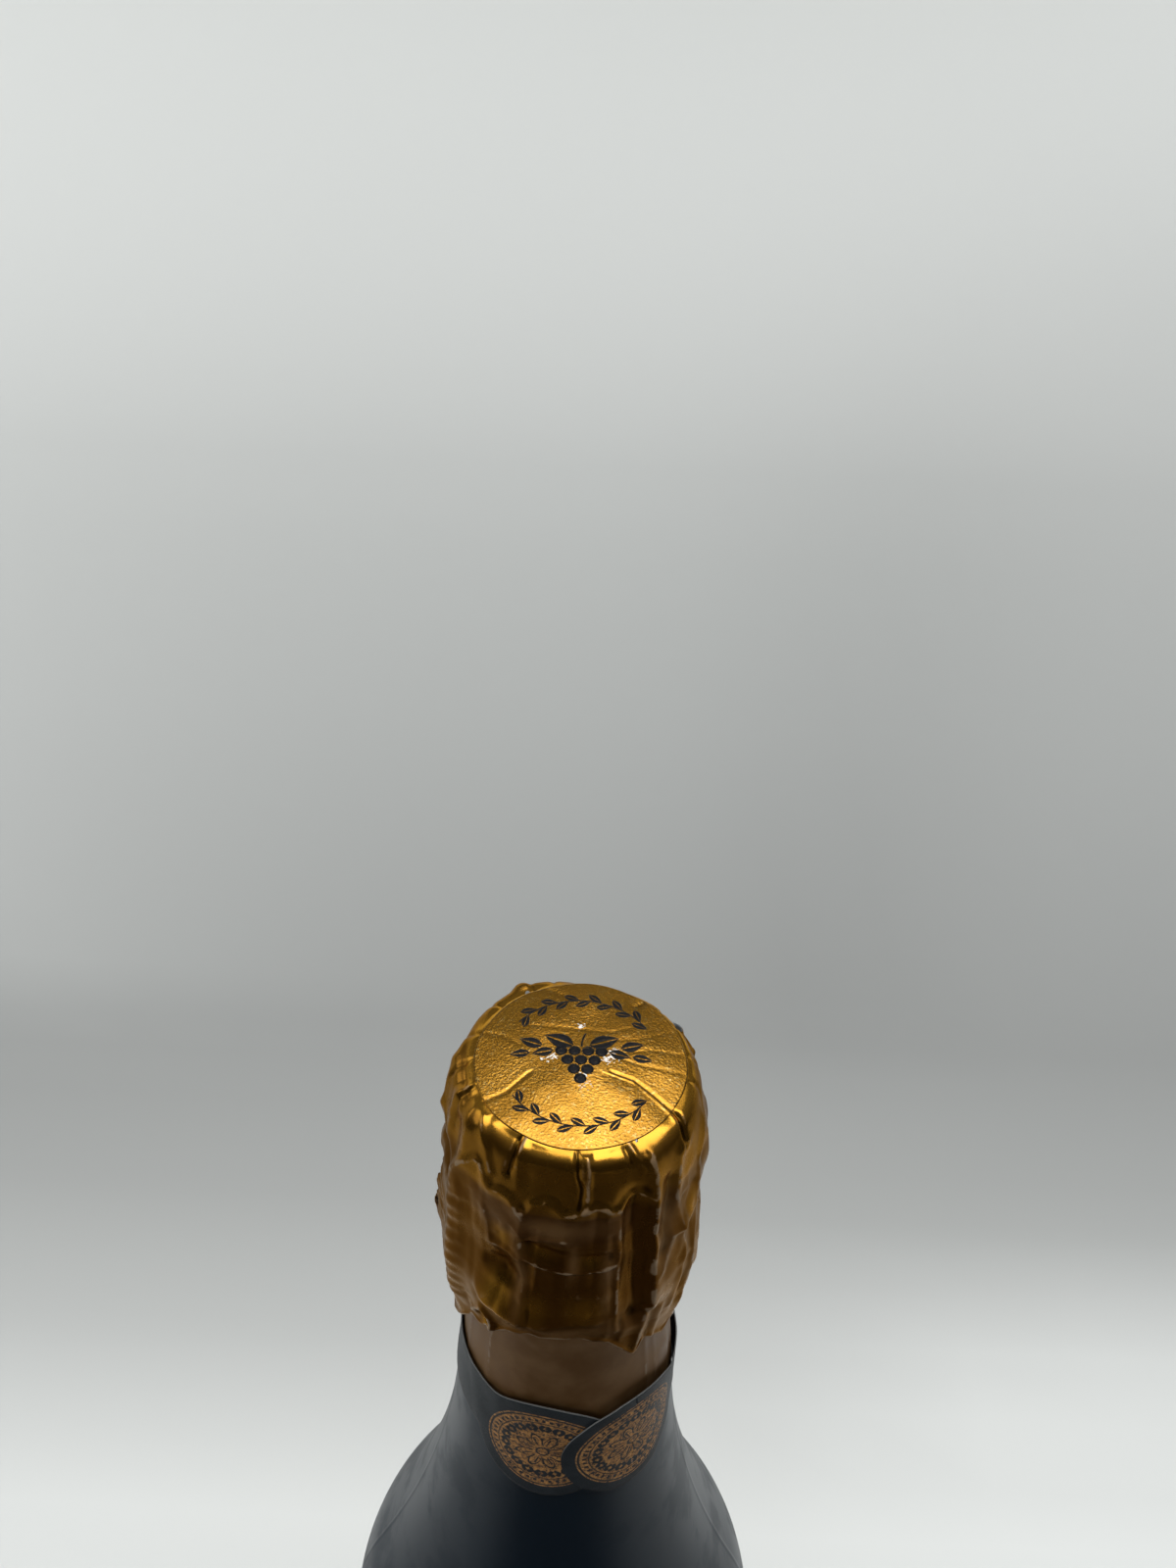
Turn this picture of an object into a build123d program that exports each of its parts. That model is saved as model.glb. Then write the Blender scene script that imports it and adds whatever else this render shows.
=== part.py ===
import os
from math import asin, cos, degrees, radians, sin, sqrt, tan

from build123d import *

os.makedirs("parts", exist_ok=True)

# A closed champagne bottle standing on its base. Millimetres, +Z up, origin on the floor under its axis.
# Angles round the bottle are counted from the front (-Y), positive towards +X.

# Glass bottle
bottle_height = 300.0
body_radius = 44.0
shoulder_drop = 169.0       # from the mouth down to the end of the straight body
shoulder_arc = 80.0         # radius of the shoulder's outward curve
neck_radius = 14.3          # just under the cage ring
neck_taper = 5.7            # degrees
neck_cone = 52.5            # height of the straight cone under the cage ring
glass_wall = 5.1
base_thickness = 7.0
heel_radius = 8.0
inner_heel = 4.0
foot_ring_width = 5.0       # flat ring that the bottle stands on
punt_height = 30.0
bore_radius = 8.85
bore_depth = 30.0

# Finish of the glass: crown bead at the mouth, groove, and the ring that the cage grips
bead_radius = 14.35
bead_height = 7.0
bead_round = 1.5
groove_radius = 13.1
groove_height = 2.0
ring_radius = 15.7
ring_height = 5.5
ring_bevel = 1.2
mouth_round = 0.8

# Wine
fill_below_mouth = 70.0
wine_film = 0.05

# Cork
cork_fit = 0.05
cork_insert = 26.0
cork_disc_thickness = 5.5
cork_head_height = 17.0
cork_head_radius = 15.6
cork_foot_radius = 12.4     # where the head spreads over the mouth
cork_top_radius = 12.8
cork_mouth_gap = 0.3
cork_waist_rise = 7.5       # height of the head's widest place over the mouth
cork_shoulder_drop = 4.5
cork_shoulder_radius = 15.0

# Pressed metal cap on the cork
sheet = 0.3
seat_gap = 0.1
plaque_radius = 14.7
plaque_lip = 1.8
plaque_dome_radius = 12.2
plaque_dome_height = 1.5
plaque_dome_slope = 0.8

# Wire cage
wire_radius = 0.6
strand_width = 1.9          # across both strands of a twisted leg
strand_thickness = 0.95
twist_pitch = 6.0
twist_steps = 8             # sections in one turn of the twist
leg_count = 4
leg_start_angle = 32.0
leg_ring_gap = 0.3
leg_shoulder_bend = 2.4
leg_foot_bend = 1.5
leg_foot_reach = 0.3        # the leg's end turns in under the belt wire to here, outside its middle
belt_gap = 0.12

# Loop that opens the cage, folded up against the neck
loop_angle = -100.0
loop_length = 14.0
loop_width = 8.0
loop_wire = 0.5
loop_lean = 8.0             # degrees

# Foil hood
foil = 0.25
hood_slack = 2.2            # from the legs to the hood's mean radius
hood_columns = 36
hood_top_gap = 0.2
top_flat_radius = 16.0
rim_drop = 1.35
fold_depth = 1.15
skirt_length = 24.0         # from below the loop to the lowest part of the hem
window_margin = 0.5
window_columns = 3

# Gold disc glued on the hood
disc_radius = 15.5
disc_thickness = 0.15

# Neck foil sleeve
sleeve_slack = 0.3
sleeve_length = 39.5
sleeve_top_gap = 0.3

# Paper collar with two round, overlapping ends
paper = 0.25
collar_drop = 69.5          # from the mouth down to the lobes' lowest point
lobe_radius = 13.0
lobe_angles = (-7.0, 35.0)
collar_band_rise = 10.0     # from the lobes' lowest point up to the band
collar_band_height = 11.5
collar_lean = 1.3           # how far its top leans in from its foot
paper_gap = 0.12

# Body labels
label_low = 26.0
front_label_drop = 24.0     # from the end of the straight body down to the label
front_label_width = 108.0
back_label_drop = 40.0
back_label_width = 78.0

# One overrun serves all cuts
overrun = 2.0

# Heights that follow from the values above
mouth = bottle_height
bead_low = mouth - bead_height
ring_top = bead_low - groove_height
ring_low = ring_top - ring_height
belt_height = ring_low - belt_gap - wire_radius
flange_top = mouth + cork_head_height + seat_gap + sheet
leg_top = flange_top + seat_gap + strand_width / 2
hood_underside = leg_top + strand_width / 2 + hood_top_gap
hood_top = hood_underside + foil
leg_radius = max(ring_radius, cork_head_radius) + leg_ring_gap + strand_width / 2
loop_radius = leg_radius
hood_radius = leg_radius + strand_width / 2 + hood_slack
shoulder_start = mouth - shoulder_drop
cone_low = ring_low - neck_cone
punt_radius = body_radius - heel_radius - foot_ring_width


def direction(angle):
    """Unit vector from the axis towards an angle round the bottle."""
    return Vector(sin(radians(angle)), -cos(radians(angle)), 0)


def turned(edges):
    """Solid of revolution from edges drawn as radius and height."""
    return revolve(Plane.XZ * make_face(edges), Axis.Z)


def turned_polygon(points):
    return turned(Polyline(*points, close=True).edges())


def arc_about(center, radius, start, end):
    """Arc between two angles about a centre, in the radius and height plane."""
    points = []
    for angle in (start, (start + end) / 2, end):
        points.append((center[0] + radius * cos(angle), center[1] + radius * sin(angle)))
    return ThreePointArc(*points)


def cone_radius(height):
    """Outer radius of the glass on the neck's cone."""
    return neck_radius + (ring_low - height) * tan(radians(neck_taper))


def flank_curves():
    """Centres of the shoulder and neck curves, the neck curve's radius, and the angle where they meet."""
    taper = radians(neck_taper)
    shoulder = (body_radius - shoulder_arc, shoulder_start)
    # The neck curve leaves the foot of the neck's cone and is tangent to the shoulder curve.
    reach_r = cone_radius(cone_low) - shoulder[0]
    reach_z = cone_low - shoulder[1]
    outward = reach_r * cos(taper) + reach_z * sin(taper)
    arc = (reach_r ** 2 + reach_z ** 2 - shoulder_arc ** 2) / (2 * (shoulder_arc - outward))
    neck = (
        shoulder[0] + reach_r + arc * cos(taper),
        shoulder[1] + reach_z + arc * sin(taper),
    )
    meet = asin((neck[1] - shoulder[1]) / (shoulder_arc + arc))
    return shoulder, neck, arc, meet


shoulder_center, neck_center, neck_arc, meet_angle = flank_curves()


def glass_radius(height):
    """Outer radius of the glass between its heel and the ring."""
    meet_height = shoulder_center[1] + shoulder_arc * sin(meet_angle)
    if height >= cone_low:
        return cone_radius(height)
    if height >= meet_height:
        return neck_center[0] - sqrt(neck_arc ** 2 - (height - neck_center[1]) ** 2)
    if height >= shoulder_start:
        return shoulder_center[0] + sqrt(shoulder_arc ** 2 - (height - shoulder_start) ** 2)
    return body_radius


def flank(offset, low):
    """Edges of the side from a low height up to the neck's cone, moved inwards by an offset."""
    taper = radians(neck_taper)
    side = body_radius - offset
    shoulder = arc_about(shoulder_center, shoulder_arc - offset, 0, meet_angle)
    neck = arc_about(
        neck_center, neck_arc + offset, radians(180) + meet_angle, radians(180) + taper
    )
    return [Line((side, low), (side, shoulder_start)), shoulder, neck]


def dome(edge_radius, rise, low):
    """Arc from a point at an edge radius up to the axis."""
    radius = (edge_radius ** 2 + rise ** 2) / (2 * rise)
    start = asin((radius - rise) / radius)
    return arc_about((0, low + rise - radius), radius, start, radians(90))


def cavity(film=0):
    """The space inside the glass, less a film all round, as a solid that runs out of the mouth."""
    offset = glass_wall + film
    floor_edge = body_radius - glass_wall - inner_heel
    floor = base_thickness + film
    heel_center = (floor_edge, base_thickness + inner_heel)
    sides = flank(offset, base_thickness + inner_heel)
    edges = [
        dome(floor_edge, punt_height, floor),
        arc_about(heel_center, inner_heel - film, radians(-90), 0),
    ]
    edges += sides
    edges += Polyline(
        sides[-1] @ 1,
        (bore_radius - film, mouth - bore_depth),
        (bore_radius - film, mouth + overrun),
        (0, mouth + overrun),
        (0, floor + punt_height),
    ).edges()
    return turned(edges)


def glass_bottle():
    sides = flank(0, heel_radius)
    bead_mid = mouth - bead_height / 2
    edges = [
        dome(punt_radius, punt_height, 0),
        Line((punt_radius, 0), (body_radius - heel_radius, 0)),
        arc_about((body_radius - heel_radius, heel_radius), heel_radius, radians(-90), 0),
    ]
    edges += sides
    edges += Polyline(
        sides[-1] @ 1,
        (neck_radius, ring_low),
        (ring_radius, ring_low + ring_bevel),
        (ring_radius, ring_top - ring_bevel),
        (groove_radius, ring_top),
        (groove_radius, bead_low),
        (bead_radius, bead_low + bead_round),
        (bead_radius, mouth - bead_round),
    ).edges()
    edges += [
        arc_about((bead_radius - bead_round, mouth - bead_round), bead_round, 0, radians(90)),
        Line((bead_radius - bead_round, mouth), (0, mouth)),
        Line((0, mouth), (0, punt_height)),
    ]
    body = turned(edges) - cavity()
    lip = body.edges().filter_by(GeomType.CIRCLE).group_by(Axis.Z)[-1].sort_by(SortBy.RADIUS)[0]
    return fillet(lip, mouth_round)


def wine():
    level = mouth - fill_below_mouth
    below = Cylinder(body_radius, level, align=(Align.CENTER, Align.CENTER, Align.MIN))
    return cavity(wine_film) & below


def cork_pieces():
    shaft = bore_radius - cork_fit
    low = mouth - cork_insert
    body_low = low + 2 * cork_disc_thickness
    foot = mouth + cork_mouth_gap
    top = mouth + cork_head_height
    shoulder = (cork_shoulder_radius, top - cork_shoulder_drop)
    inside = Polyline((0, top), (0, body_low), (shaft, body_low), (shaft, foot), (cork_foot_radius, foot))
    edges = list(inside.edges())
    edges.append(
        ThreePointArc((cork_foot_radius, foot), (cork_head_radius, mouth + cork_waist_rise), shoulder)
    )
    edges.append(Line(shoulder, (cork_top_radius, top)))
    edges.append(Line((cork_top_radius, top), (0, top)))
    body = turned(edges)
    disc = Cylinder(shaft, cork_disc_thickness, align=(Align.CENTER, Align.CENTER, Align.MIN))
    lower = Pos(0, 0, low) * disc
    upper = Pos(0, 0, low + cork_disc_thickness) * disc
    return body, upper, lower


def muselet_plaque():
    low = flange_top - sheet
    dome_top = flange_top + plaque_dome_height
    dome_inner = plaque_dome_radius - plaque_dome_slope
    inner = plaque_radius - sheet
    return turned_polygon(
        [
            (0, dome_top),
            (dome_inner, dome_top),
            (plaque_dome_radius, flange_top),
            (plaque_radius, flange_top),
            (plaque_radius, flange_top - plaque_lip),
            (inner, flange_top - plaque_lip),
            (inner, low),
            (plaque_dome_radius - sheet, low),
            (dome_inner - sheet, dome_top - sheet),
            (0, dome_top - sheet),
        ]
    )


def twisted_bar(path):
    """Two strands twisted together, as one bar of oblong section that turns along its path."""
    count = max(2, round(path.length / twist_pitch * twist_steps))
    long_side = sqrt(strand_width ** 2 - strand_thickness ** 2)
    sections = []
    for step in range(count + 1):
        share = step / count
        turn = 360 * share * path.length / twist_pitch
        across = Plane(origin=path @ share, x_dir=(1, 0, 0), z_dir=path % share)
        sections.append(across * Rot(0, 0, turn) * Rectangle(long_side, strand_thickness))
    return loft(sections, ruled=True)


crown_radius = plaque_dome_radius + seat_gap + wire_radius
crown_height = flange_top + seat_gap + wire_radius
belt_radius = neck_radius + belt_gap + wire_radius
foot_height = belt_height - wire_radius - seat_gap - strand_width / 2
sleeve_top = foot_height - strand_width / 2 - sleeve_top_gap
sleeve_low = sleeve_top - sleeve_length
collar_low = mouth - collar_drop


def leg_path():
    """A leg's centre line towards the front, from beside the crown ring to under the belt wire."""
    line = FilletPolyline(
        (crown_radius + wire_radius + seat_gap, leg_top),
        (leg_radius, leg_top),
        (leg_radius, foot_height),
        (belt_radius + leg_foot_reach, foot_height),
        radius=(leg_shoulder_bend, leg_foot_bend),
    )
    upright = Plane(origin=(0, 0, 0), x_dir=(0, -1, 0), z_dir=(-1, 0, 0))
    return Wire((upright * line).edges())


def wire_cage():
    wires = [Pos(0, 0, crown_height) * Torus(crown_radius, wire_radius)]
    leg = twisted_bar(leg_path())
    for number in range(leg_count):
        wires.append(Rot(0, 0, leg_start_angle + number * 360 / leg_count) * leg)
    return Compound(wires)


def belt_wire():
    return Pos(0, 0, belt_height) * Torus(belt_radius, wire_radius)


def belt_loop():
    """Twisted shank and round eye, drawn upright on the hinge line and leaned outwards."""
    eye_radius = loop_width / 2 - loop_wire
    shank_length = loop_length - 2 * eye_radius - loop_wire
    shank = twisted_bar(Line((0, 0, 0), (0, 0, shank_length)))
    eye = Pos(0, 0, shank_length + eye_radius) * Rot(90, 0, 0) * Torus(eye_radius, loop_wire)
    loop = shank + eye
    return Rot(0, 0, loop_angle) * Pos(0, -loop_radius, belt_height) * Rot(loop_lean, 0, 0) * loop


# Hood shape. Each row of the hood is a height and a radius; each fold stands out or sinks in.
fold_fade = 4               # a fold fades out over one part in this many of its height
window_low = belt_height - strand_width / 2 - window_margin
window_top = belt_height + loop_length + window_margin

# Above the window: share of the drop from the rim to the window, and share of the fold depth
upper_row_shares = ((0.16, -0.85), (0.38, 0.25), (0.56, -0.5), (0.78, -0.35), (1.0, 0.2))
# Beside the window: share of the window's height from its top
window_row_shares = ((0.28, -0.35), (0.55, 0.1), (0.78, -0.1), (1.0, -0.2))
# Below the window: share of the way down to the hem
skirt_row_shares = ((0.5, 0.2), (1.0, 0.45))
# How far the hem hangs below the window at an angle, as a share of the skirt's length
hem_shares = (
    (-180, 0.72), (-150, 0.9), (-120, 1.0), (-95, 0.92), (-75, 0.62), (-58, 0.36), (-44, 0.27),
    (-30, 0.26), (-10, 0.15), (10, 0.13), (20, 0.22), (32, 0.4), (44, 0.34), (57, 0.38),
    (70, 0.66), (90, 0.96), (115, 0.9), (140, 0.66), (160, 0.8), (180, 0.72),
)
# Folds: angle, half width in degrees, depth share, and the height shares from hem to top that it spans
fold_shares = (
    (-122, 12, 0.6, 0.0, 0.9), (-100, 24, 1.25, 0.3, 0.72), (-58, 10, 0.55, 0.0, 0.85),
    (-40, 9, -0.55, 0.1, 0.8), (-22, 9, 0.35, 0.0, 0.95), (-6, 8, -0.3, 0.3, 1.0),
    (10, 8, 0.3, 0.0, 0.9), (24, 7, -0.85, 0.2, 0.8), (36, 8, 0.75, 0.0, 1.0),
    (56, 12, -0.35, 0.1, 0.9), (75, 12, 0.5, 0.0, 1.0), (98, 12, -0.3, 0.1, 0.9),
    (122, 11, 0.55, 0.0, 0.9), (146, 13, -0.4, 0.2, 1.0), (170, 14, 0.35, 0.0, 1.0),
    (-148, 12, -0.35, 0.1, 0.9),
)


def hem_height(angle):
    """Height of the hem at an angle, between the two nearest entries of the table."""
    for (left, left_share), (right, right_share) in zip(hem_shares, hem_shares[1:]):
        if left <= angle <= right:
            share = left_share + (right_share - left_share) * (angle - left) / (right - left)
            return window_low - skirt_length * share
    return window_low - skirt_length


def fold_share(angle, height):
    """Sum of the folds at a place on the hood, as a share of the fold depth."""
    level = (height - hem_height(angle)) / (hood_top - hem_height(angle))
    total = 0
    for middle, half_width, depth, low, high in fold_shares:
        away = abs((angle - middle + 180) % 360 - 180) / half_width
        span = (level - low) / (high - low)
        if away < 1 and 0 <= span <= 1:
            at_hem = low == 0       # a fold that starts at the hem doesn't fade there
            total += depth * (1 - away) * min(1, fold_fade * span + at_hem, fold_fade * (1 - span))
    return total


def hood_column(angle):
    """Outer points of the hood at one angle, as radius and height, from the top down."""
    rim = hood_top - rim_drop
    rows = [(top_flat_radius, hood_top)]
    # the rounded rim of the hood
    rows.append(((top_flat_radius + hood_radius) / 2, rim))
    drop = rim - window_top
    rows += [(hood_radius + share * fold_depth, rim - at * drop) for at, share in upper_row_shares]
    drop = window_top - window_low
    rows += [(hood_radius + share * fold_depth, window_top - at * drop) for at, share in window_row_shares]
    drop = window_low - hem_height(angle)
    rows += [(hood_radius + share * fold_depth, window_low - at * drop) for at, share in skirt_row_shares]
    points = rows[:2]
    points += [(radius + fold_share(angle, height) * fold_depth, height) for radius, height in rows[2:]]
    return points


def foil_hood():
    """Crumpled foil shell made of flat facets, with a torn window beside the loop."""
    step = 360 / hood_columns
    first = loop_angle - window_columns * step / 2
    angles = [(first + step * number + 180) % 360 - 180 for number in range(hood_columns)]
    columns = [hood_column(angle) for angle in angles]
    row_count = len(columns[0])
    upper_last = 1 + len(upper_row_shares)
    window_last = upper_last + len(window_row_shares)

    def place(column, row, inside):
        column %= hood_columns
        radius, height = columns[column][row]
        spot = direction(angles[column]) * (radius - foil * inside)
        lowered = foil * inside * (row == 0)
        return Vector(spot.X, spot.Y, height - lowered)

    def open_cell(column, row):
        return 0 <= column % hood_columns < window_columns and upper_last <= row < window_last

    faces = []

    def panel(a, b, c, d):
        faces.append(Face(Wire.make_polygon([a, b, c])))
        faces.append(Face(Wire.make_polygon([a, c, d])))

    for column in range(hood_columns):
        for row in range(row_count - 1):
            if open_cell(column, row):
                continue
            for inside in (0, 1):
                panel(
                    place(column, row, inside),
                    place(column + 1, row, inside),
                    place(column + 1, row + 1, inside),
                    place(column, row + 1, inside),
                )
            # the thickness of the foil round the window
            if open_cell(column, row + 1):
                ends = [(column, row + 1), (column + 1, row + 1)]
            elif open_cell(column, row - 1):
                ends = [(column, row), (column + 1, row)]
            elif open_cell(column + 1, row):
                ends = [(column + 1, row), (column + 1, row + 1)]
            elif open_cell(column - 1, row):
                ends = [(column, row), (column, row + 1)]
            else:
                continue
            panel(place(*ends[0], 0), place(*ends[1], 0), place(*ends[1], 1), place(*ends[0], 1))
        last = row_count - 1
        panel(
            place(column, last, 0),
            place(column + 1, last, 0),
            place(column + 1, last, 1),
            place(column, last, 1),
        )
    for inside in (0, 1):
        ring = [place(column, 0, inside) for column in range(hood_columns)]
        faces.append(Face(Wire.make_polygon(ring)))
    return Solid(Shell(faces))


def foil_top_disc():
    disc = Cylinder(disc_radius, disc_thickness, align=(Align.CENTER, Align.CENTER, Align.MIN))
    return Pos(0, 0, hood_top) * disc


def neck_foil():
    heights = [sleeve_top, sleeve_low]
    if sleeve_low < cone_low:
        heights = [sleeve_top, cone_low, (cone_low + sleeve_low) / 2, sleeve_low]
    inner = [(glass_radius(height) + sleeve_slack, height) for height in heights]
    outer = [(radius + foil, height) for radius, height in inner]
    return turned_polygon(inner + outer[::-1])


def collar_label():
    """Conical paper band whose two ends are round lobes, cut out of one conical shell."""
    high = collar_low + 2 * lobe_radius
    # clear of the glass at its foot and of the sleeve's lower edge
    sleeve_reach = glass_radius(sleeve_low) + sleeve_slack + foil
    lean_there = collar_lean * (sleeve_low - collar_low) / (high - collar_low)
    foot = max(glass_radius(collar_low), sleeve_reach + lean_there) + paper_gap
    head = foot - collar_lean
    points = [(foot, collar_low), (foot + paper, collar_low), (head + paper, high), (head, high)]
    shell = turned_polygon(points)
    reach = foot + paper + overrun
    outline = Pos(0, 0, collar_low + collar_band_rise) * Cylinder(
        reach, collar_band_height, align=(Align.CENTER, Align.CENTER, Align.MIN)
    )
    lobe = Cylinder(lobe_radius, reach, align=(Align.CENTER, Align.CENTER, Align.MIN))
    lobe = Pos(0, 0, collar_low + lobe_radius) * Rot(90, 0, 0) * lobe
    for angle in lobe_angles:
        outline += Rot(0, 0, angle) * lobe
    return shell & outline


def body_label(angle, width, drop):
    """Paper label laid round the body, centred on an angle, up to a drop below the shoulder."""
    inner = body_radius + paper_gap
    high = shoulder_start - drop
    sweep = degrees(width / inner)
    points = [(inner, label_low), (inner + paper, label_low), (inner + paper, high), (inner, high)]
    section = Plane.XZ * make_face(Polyline(*points, close=True).edges())
    band = revolve(section, Axis.Z, revolution_arc=sweep)
    return Rot(0, 0, angle - 90 - sweep / 2) * band


body, disc_upper, disc_lower = cork_pieces()
nodes = {
    "glass_bottle": glass_bottle(),
    "wine": wine(),
    "cork_body": body,
    "cork_disc_upper": disc_upper,
    "cork_disc_lower": disc_lower,
    "muselet_plaque": muselet_plaque(),
    "wire_cage": wire_cage(),
    "belt_wire": belt_wire(),
    "belt_loop": belt_loop(),
    "foil_hood": foil_hood(),
    "foil_top_disc": foil_top_disc(),
    "neck_foil": neck_foil(),
    "collar_label": collar_label(),
    "front_label": body_label(0, front_label_width, front_label_drop),
    "back_label": body_label(180, back_label_width, back_label_drop),
}
for name, solid in nodes.items():
    export_step(solid, f"parts/{name}.step")
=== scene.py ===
import math

import bmesh
import bpy
import numpy as np
from mathutils import Matrix, Vector
from mathutils.geometry import delaunay_2d_cdt


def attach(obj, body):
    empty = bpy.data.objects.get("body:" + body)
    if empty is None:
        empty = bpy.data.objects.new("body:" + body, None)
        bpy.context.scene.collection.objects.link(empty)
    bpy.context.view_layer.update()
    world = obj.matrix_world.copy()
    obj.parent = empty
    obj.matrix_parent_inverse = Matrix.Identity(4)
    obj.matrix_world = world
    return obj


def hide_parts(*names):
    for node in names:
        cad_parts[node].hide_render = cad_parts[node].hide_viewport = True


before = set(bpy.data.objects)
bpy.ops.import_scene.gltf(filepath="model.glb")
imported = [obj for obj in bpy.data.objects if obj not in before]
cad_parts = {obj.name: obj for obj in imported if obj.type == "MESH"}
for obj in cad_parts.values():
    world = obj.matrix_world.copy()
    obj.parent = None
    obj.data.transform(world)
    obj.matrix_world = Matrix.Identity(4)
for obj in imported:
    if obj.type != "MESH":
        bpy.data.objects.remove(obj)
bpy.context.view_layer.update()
scene = bpy.context.scene
mm = 0.001      # the tables below are in mm
print("frame loaded with", len(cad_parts), "nodes")


# Camera, held over the bottle and looking down at the hood from the front

camera = {
    "place": (-0.92, -131.2, 473.1),
    "pitchDeg": 38.07,          # below the horizon
    "rollDeg": -2.78,
    "focalShare": 1400 / 1600,  # focal length over the image's height
    "sensor": 36.0,             # along the image's long side
    "clipStart": 10.0,
}


def buildCamera():
    pitch, roll = math.radians(camera["pitchDeg"]), math.radians(camera["rollDeg"])
    forward = Vector((0, math.cos(pitch), -math.sin(pitch)))
    level = Vector((1, 0, 0))
    down = forward.cross(level)
    right = math.cos(roll) * level + math.sin(roll) * down
    below = math.cos(roll) * down - math.sin(roll) * level
    data = bpy.data.cameras.new("camera")
    data.sensor_width = camera["sensor"]
    data.lens = camera["focalShare"] * camera["sensor"]
    data.clip_start = camera["clipStart"] * mm
    view = bpy.data.objects.new("camera", data)
    turn = Matrix((right, -below, -forward)).transposed().to_4x4()
    view.matrix_world = Matrix.Translation(Vector(camera["place"]) * mm) @ turn
    scene.collection.objects.link(view)
    scene.camera = view


buildCamera()


# Tools for meshes: grids run from the top down and, seen from above, anticlockwise

def addObject(name, mesh, material):
    piece = bpy.data.objects.new(name, mesh)
    scene.collection.objects.link(piece)
    mesh.materials.append(material)
    return piece


def gridCells(rows, columns, first=0):
    # the cells of a grid of points numbered from first on, its last column joined to its first
    index = first + np.arange(rows * columns).reshape(rows, columns)
    beside = np.roll(index, -1, axis=1)
    return np.stack([index[:-1], index[1:], beside[1:], beside[:-1]], -1)


def gridPiece(name, points, material, closed=True, holes=None, **fields):
    # points in mm, one value per point for each named field; holes marks the cells left out
    rows, columns = points.shape[:2]
    cells = gridCells(rows, columns)
    if holes is not None:
        cells = cells[~holes]
    elif not closed:
        cells = cells[:, :-1]
    mesh = bpy.data.meshes.new(name)
    mesh.from_pydata((points.reshape(-1, 3) * mm).tolist(), [], cells.reshape(-1, 4).tolist())
    for title, field in fields.items():
        layer = mesh.attributes.new(title, "FLOAT", "POINT")
        layer.data.foreach_set("value", np.broadcast_to(field, (rows, columns)).astype(np.float32).ravel())
    tidyMesh(mesh)
    return addObject(name, mesh, material)


def tidyMesh(mesh):
    # welds poles and seams, drops loose points, smooth shading
    weld = 0.001 * mm
    work = bmesh.new()
    work.from_mesh(mesh)
    bmesh.ops.remove_doubles(work, verts=work.verts, dist=weld)
    bmesh.ops.delete(work, geom=[v for v in work.verts if not v.link_faces], context="VERTS")
    work.to_mesh(mesh)
    work.free()
    mesh.shade_smooth()


def thicken(piece, thickness):
    # a sheet's thickness, inwards from the side that is drawn
    solid = piece.modifiers.new("thickness", "SOLIDIFY")
    solid.thickness = thickness * mm
    solid.offset = -1
    return piece


def around(radius, angleDeg, height):
    # angles count from the front of the bottle, positive towards +X
    angle = np.radians(angleDeg)
    radius, angle, height = np.broadcast_arrays(radius, angle, height)
    return np.stack([radius * np.sin(angle), -radius * np.cos(angle), height], -1)


def wrapDeg(angleDeg):
    return (np.asarray(angleDeg) + 180) % 360 - 180


def byAngle(table, angleDeg):
    # values of a table of (angle, value) that closes on itself
    angles, values = zip(*table)
    return np.interp(wrapDeg(angleDeg), angles, values, period=360)


def byHeight(table, height):
    heights, values = zip(*sorted(table))
    return np.interp(height, heights, values)


def ease(value):
    value = np.clip(value, 0, 1)
    return value * value * (3 - 2 * value)


def fadeIn(value, start, full):
    # 0 before start, 1 beyond full, eased between them; full may lie below start
    return ease((value - start) / (full - start))


def softened(field, passes, closed=True):
    # a small blur over neighbouring grid points
    for _ in range(passes):
        padded = np.pad(field, ((1, 1), (0, 0)), "edge")
        field = (padded[:-2] + 2 * field + padded[2:]) / 4
        padded = np.pad(field, ((0, 0), (1, 1)), "wrap" if closed else "edge")
        field = (padded[:, :-2] + 2 * field + padded[:, 2:]) / 4
    return field


def tube(points, radius, sides=10, closed=False):
    # rings round a line of points, in mm; returns a grid of points, one row per place
    points = np.asarray(points, float)
    if closed:
        along = np.roll(points, -1, 0) - np.roll(points, 1, 0)
    else:
        along = np.gradient(points, axis=0)
    along /= np.linalg.norm(along, axis=1, keepdims=True)
    side = np.cross(along[0], (0.3, 0.5, 0.81))
    rings = []
    for place, way in zip(points, along):
        side = side - way * side.dot(way)
        side /= np.linalg.norm(side)
        up = np.cross(way, side)
        turn = np.radians(np.arange(sides) * 360 / sides)[:, None]
        rings.append(place + radius * (np.cos(turn) * side - np.sin(turn) * up))
    if closed:
        rings.append(rings[0])
    else:
        rings.insert(0, np.repeat(points[:1], sides, 0))
        rings.append(np.repeat(points[-1:], sides, 0))
    return np.stack(rings)


def joinGrids(name, grids, material):
    # one object from several grids of points, each with whether its columns close on themselves
    mesh = bpy.data.meshes.new(name)
    points, faces, start = [], [], 0
    for grid, closed in grids:
        rows, columns = grid.shape[:2]
        cells = gridCells(rows, columns, start)
        faces.append((cells if closed else cells[:, :-1]).reshape(-1, 4))
        points.append(grid.reshape(-1, 3))
        start += rows * columns
    mesh.from_pydata((np.concatenate(points) * mm).tolist(), [], np.concatenate(faces).tolist())
    tidyMesh(mesh)
    return addObject(name, mesh, material)


# Tools for crumpled foil; across and along are distances over the surface in mm

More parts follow.
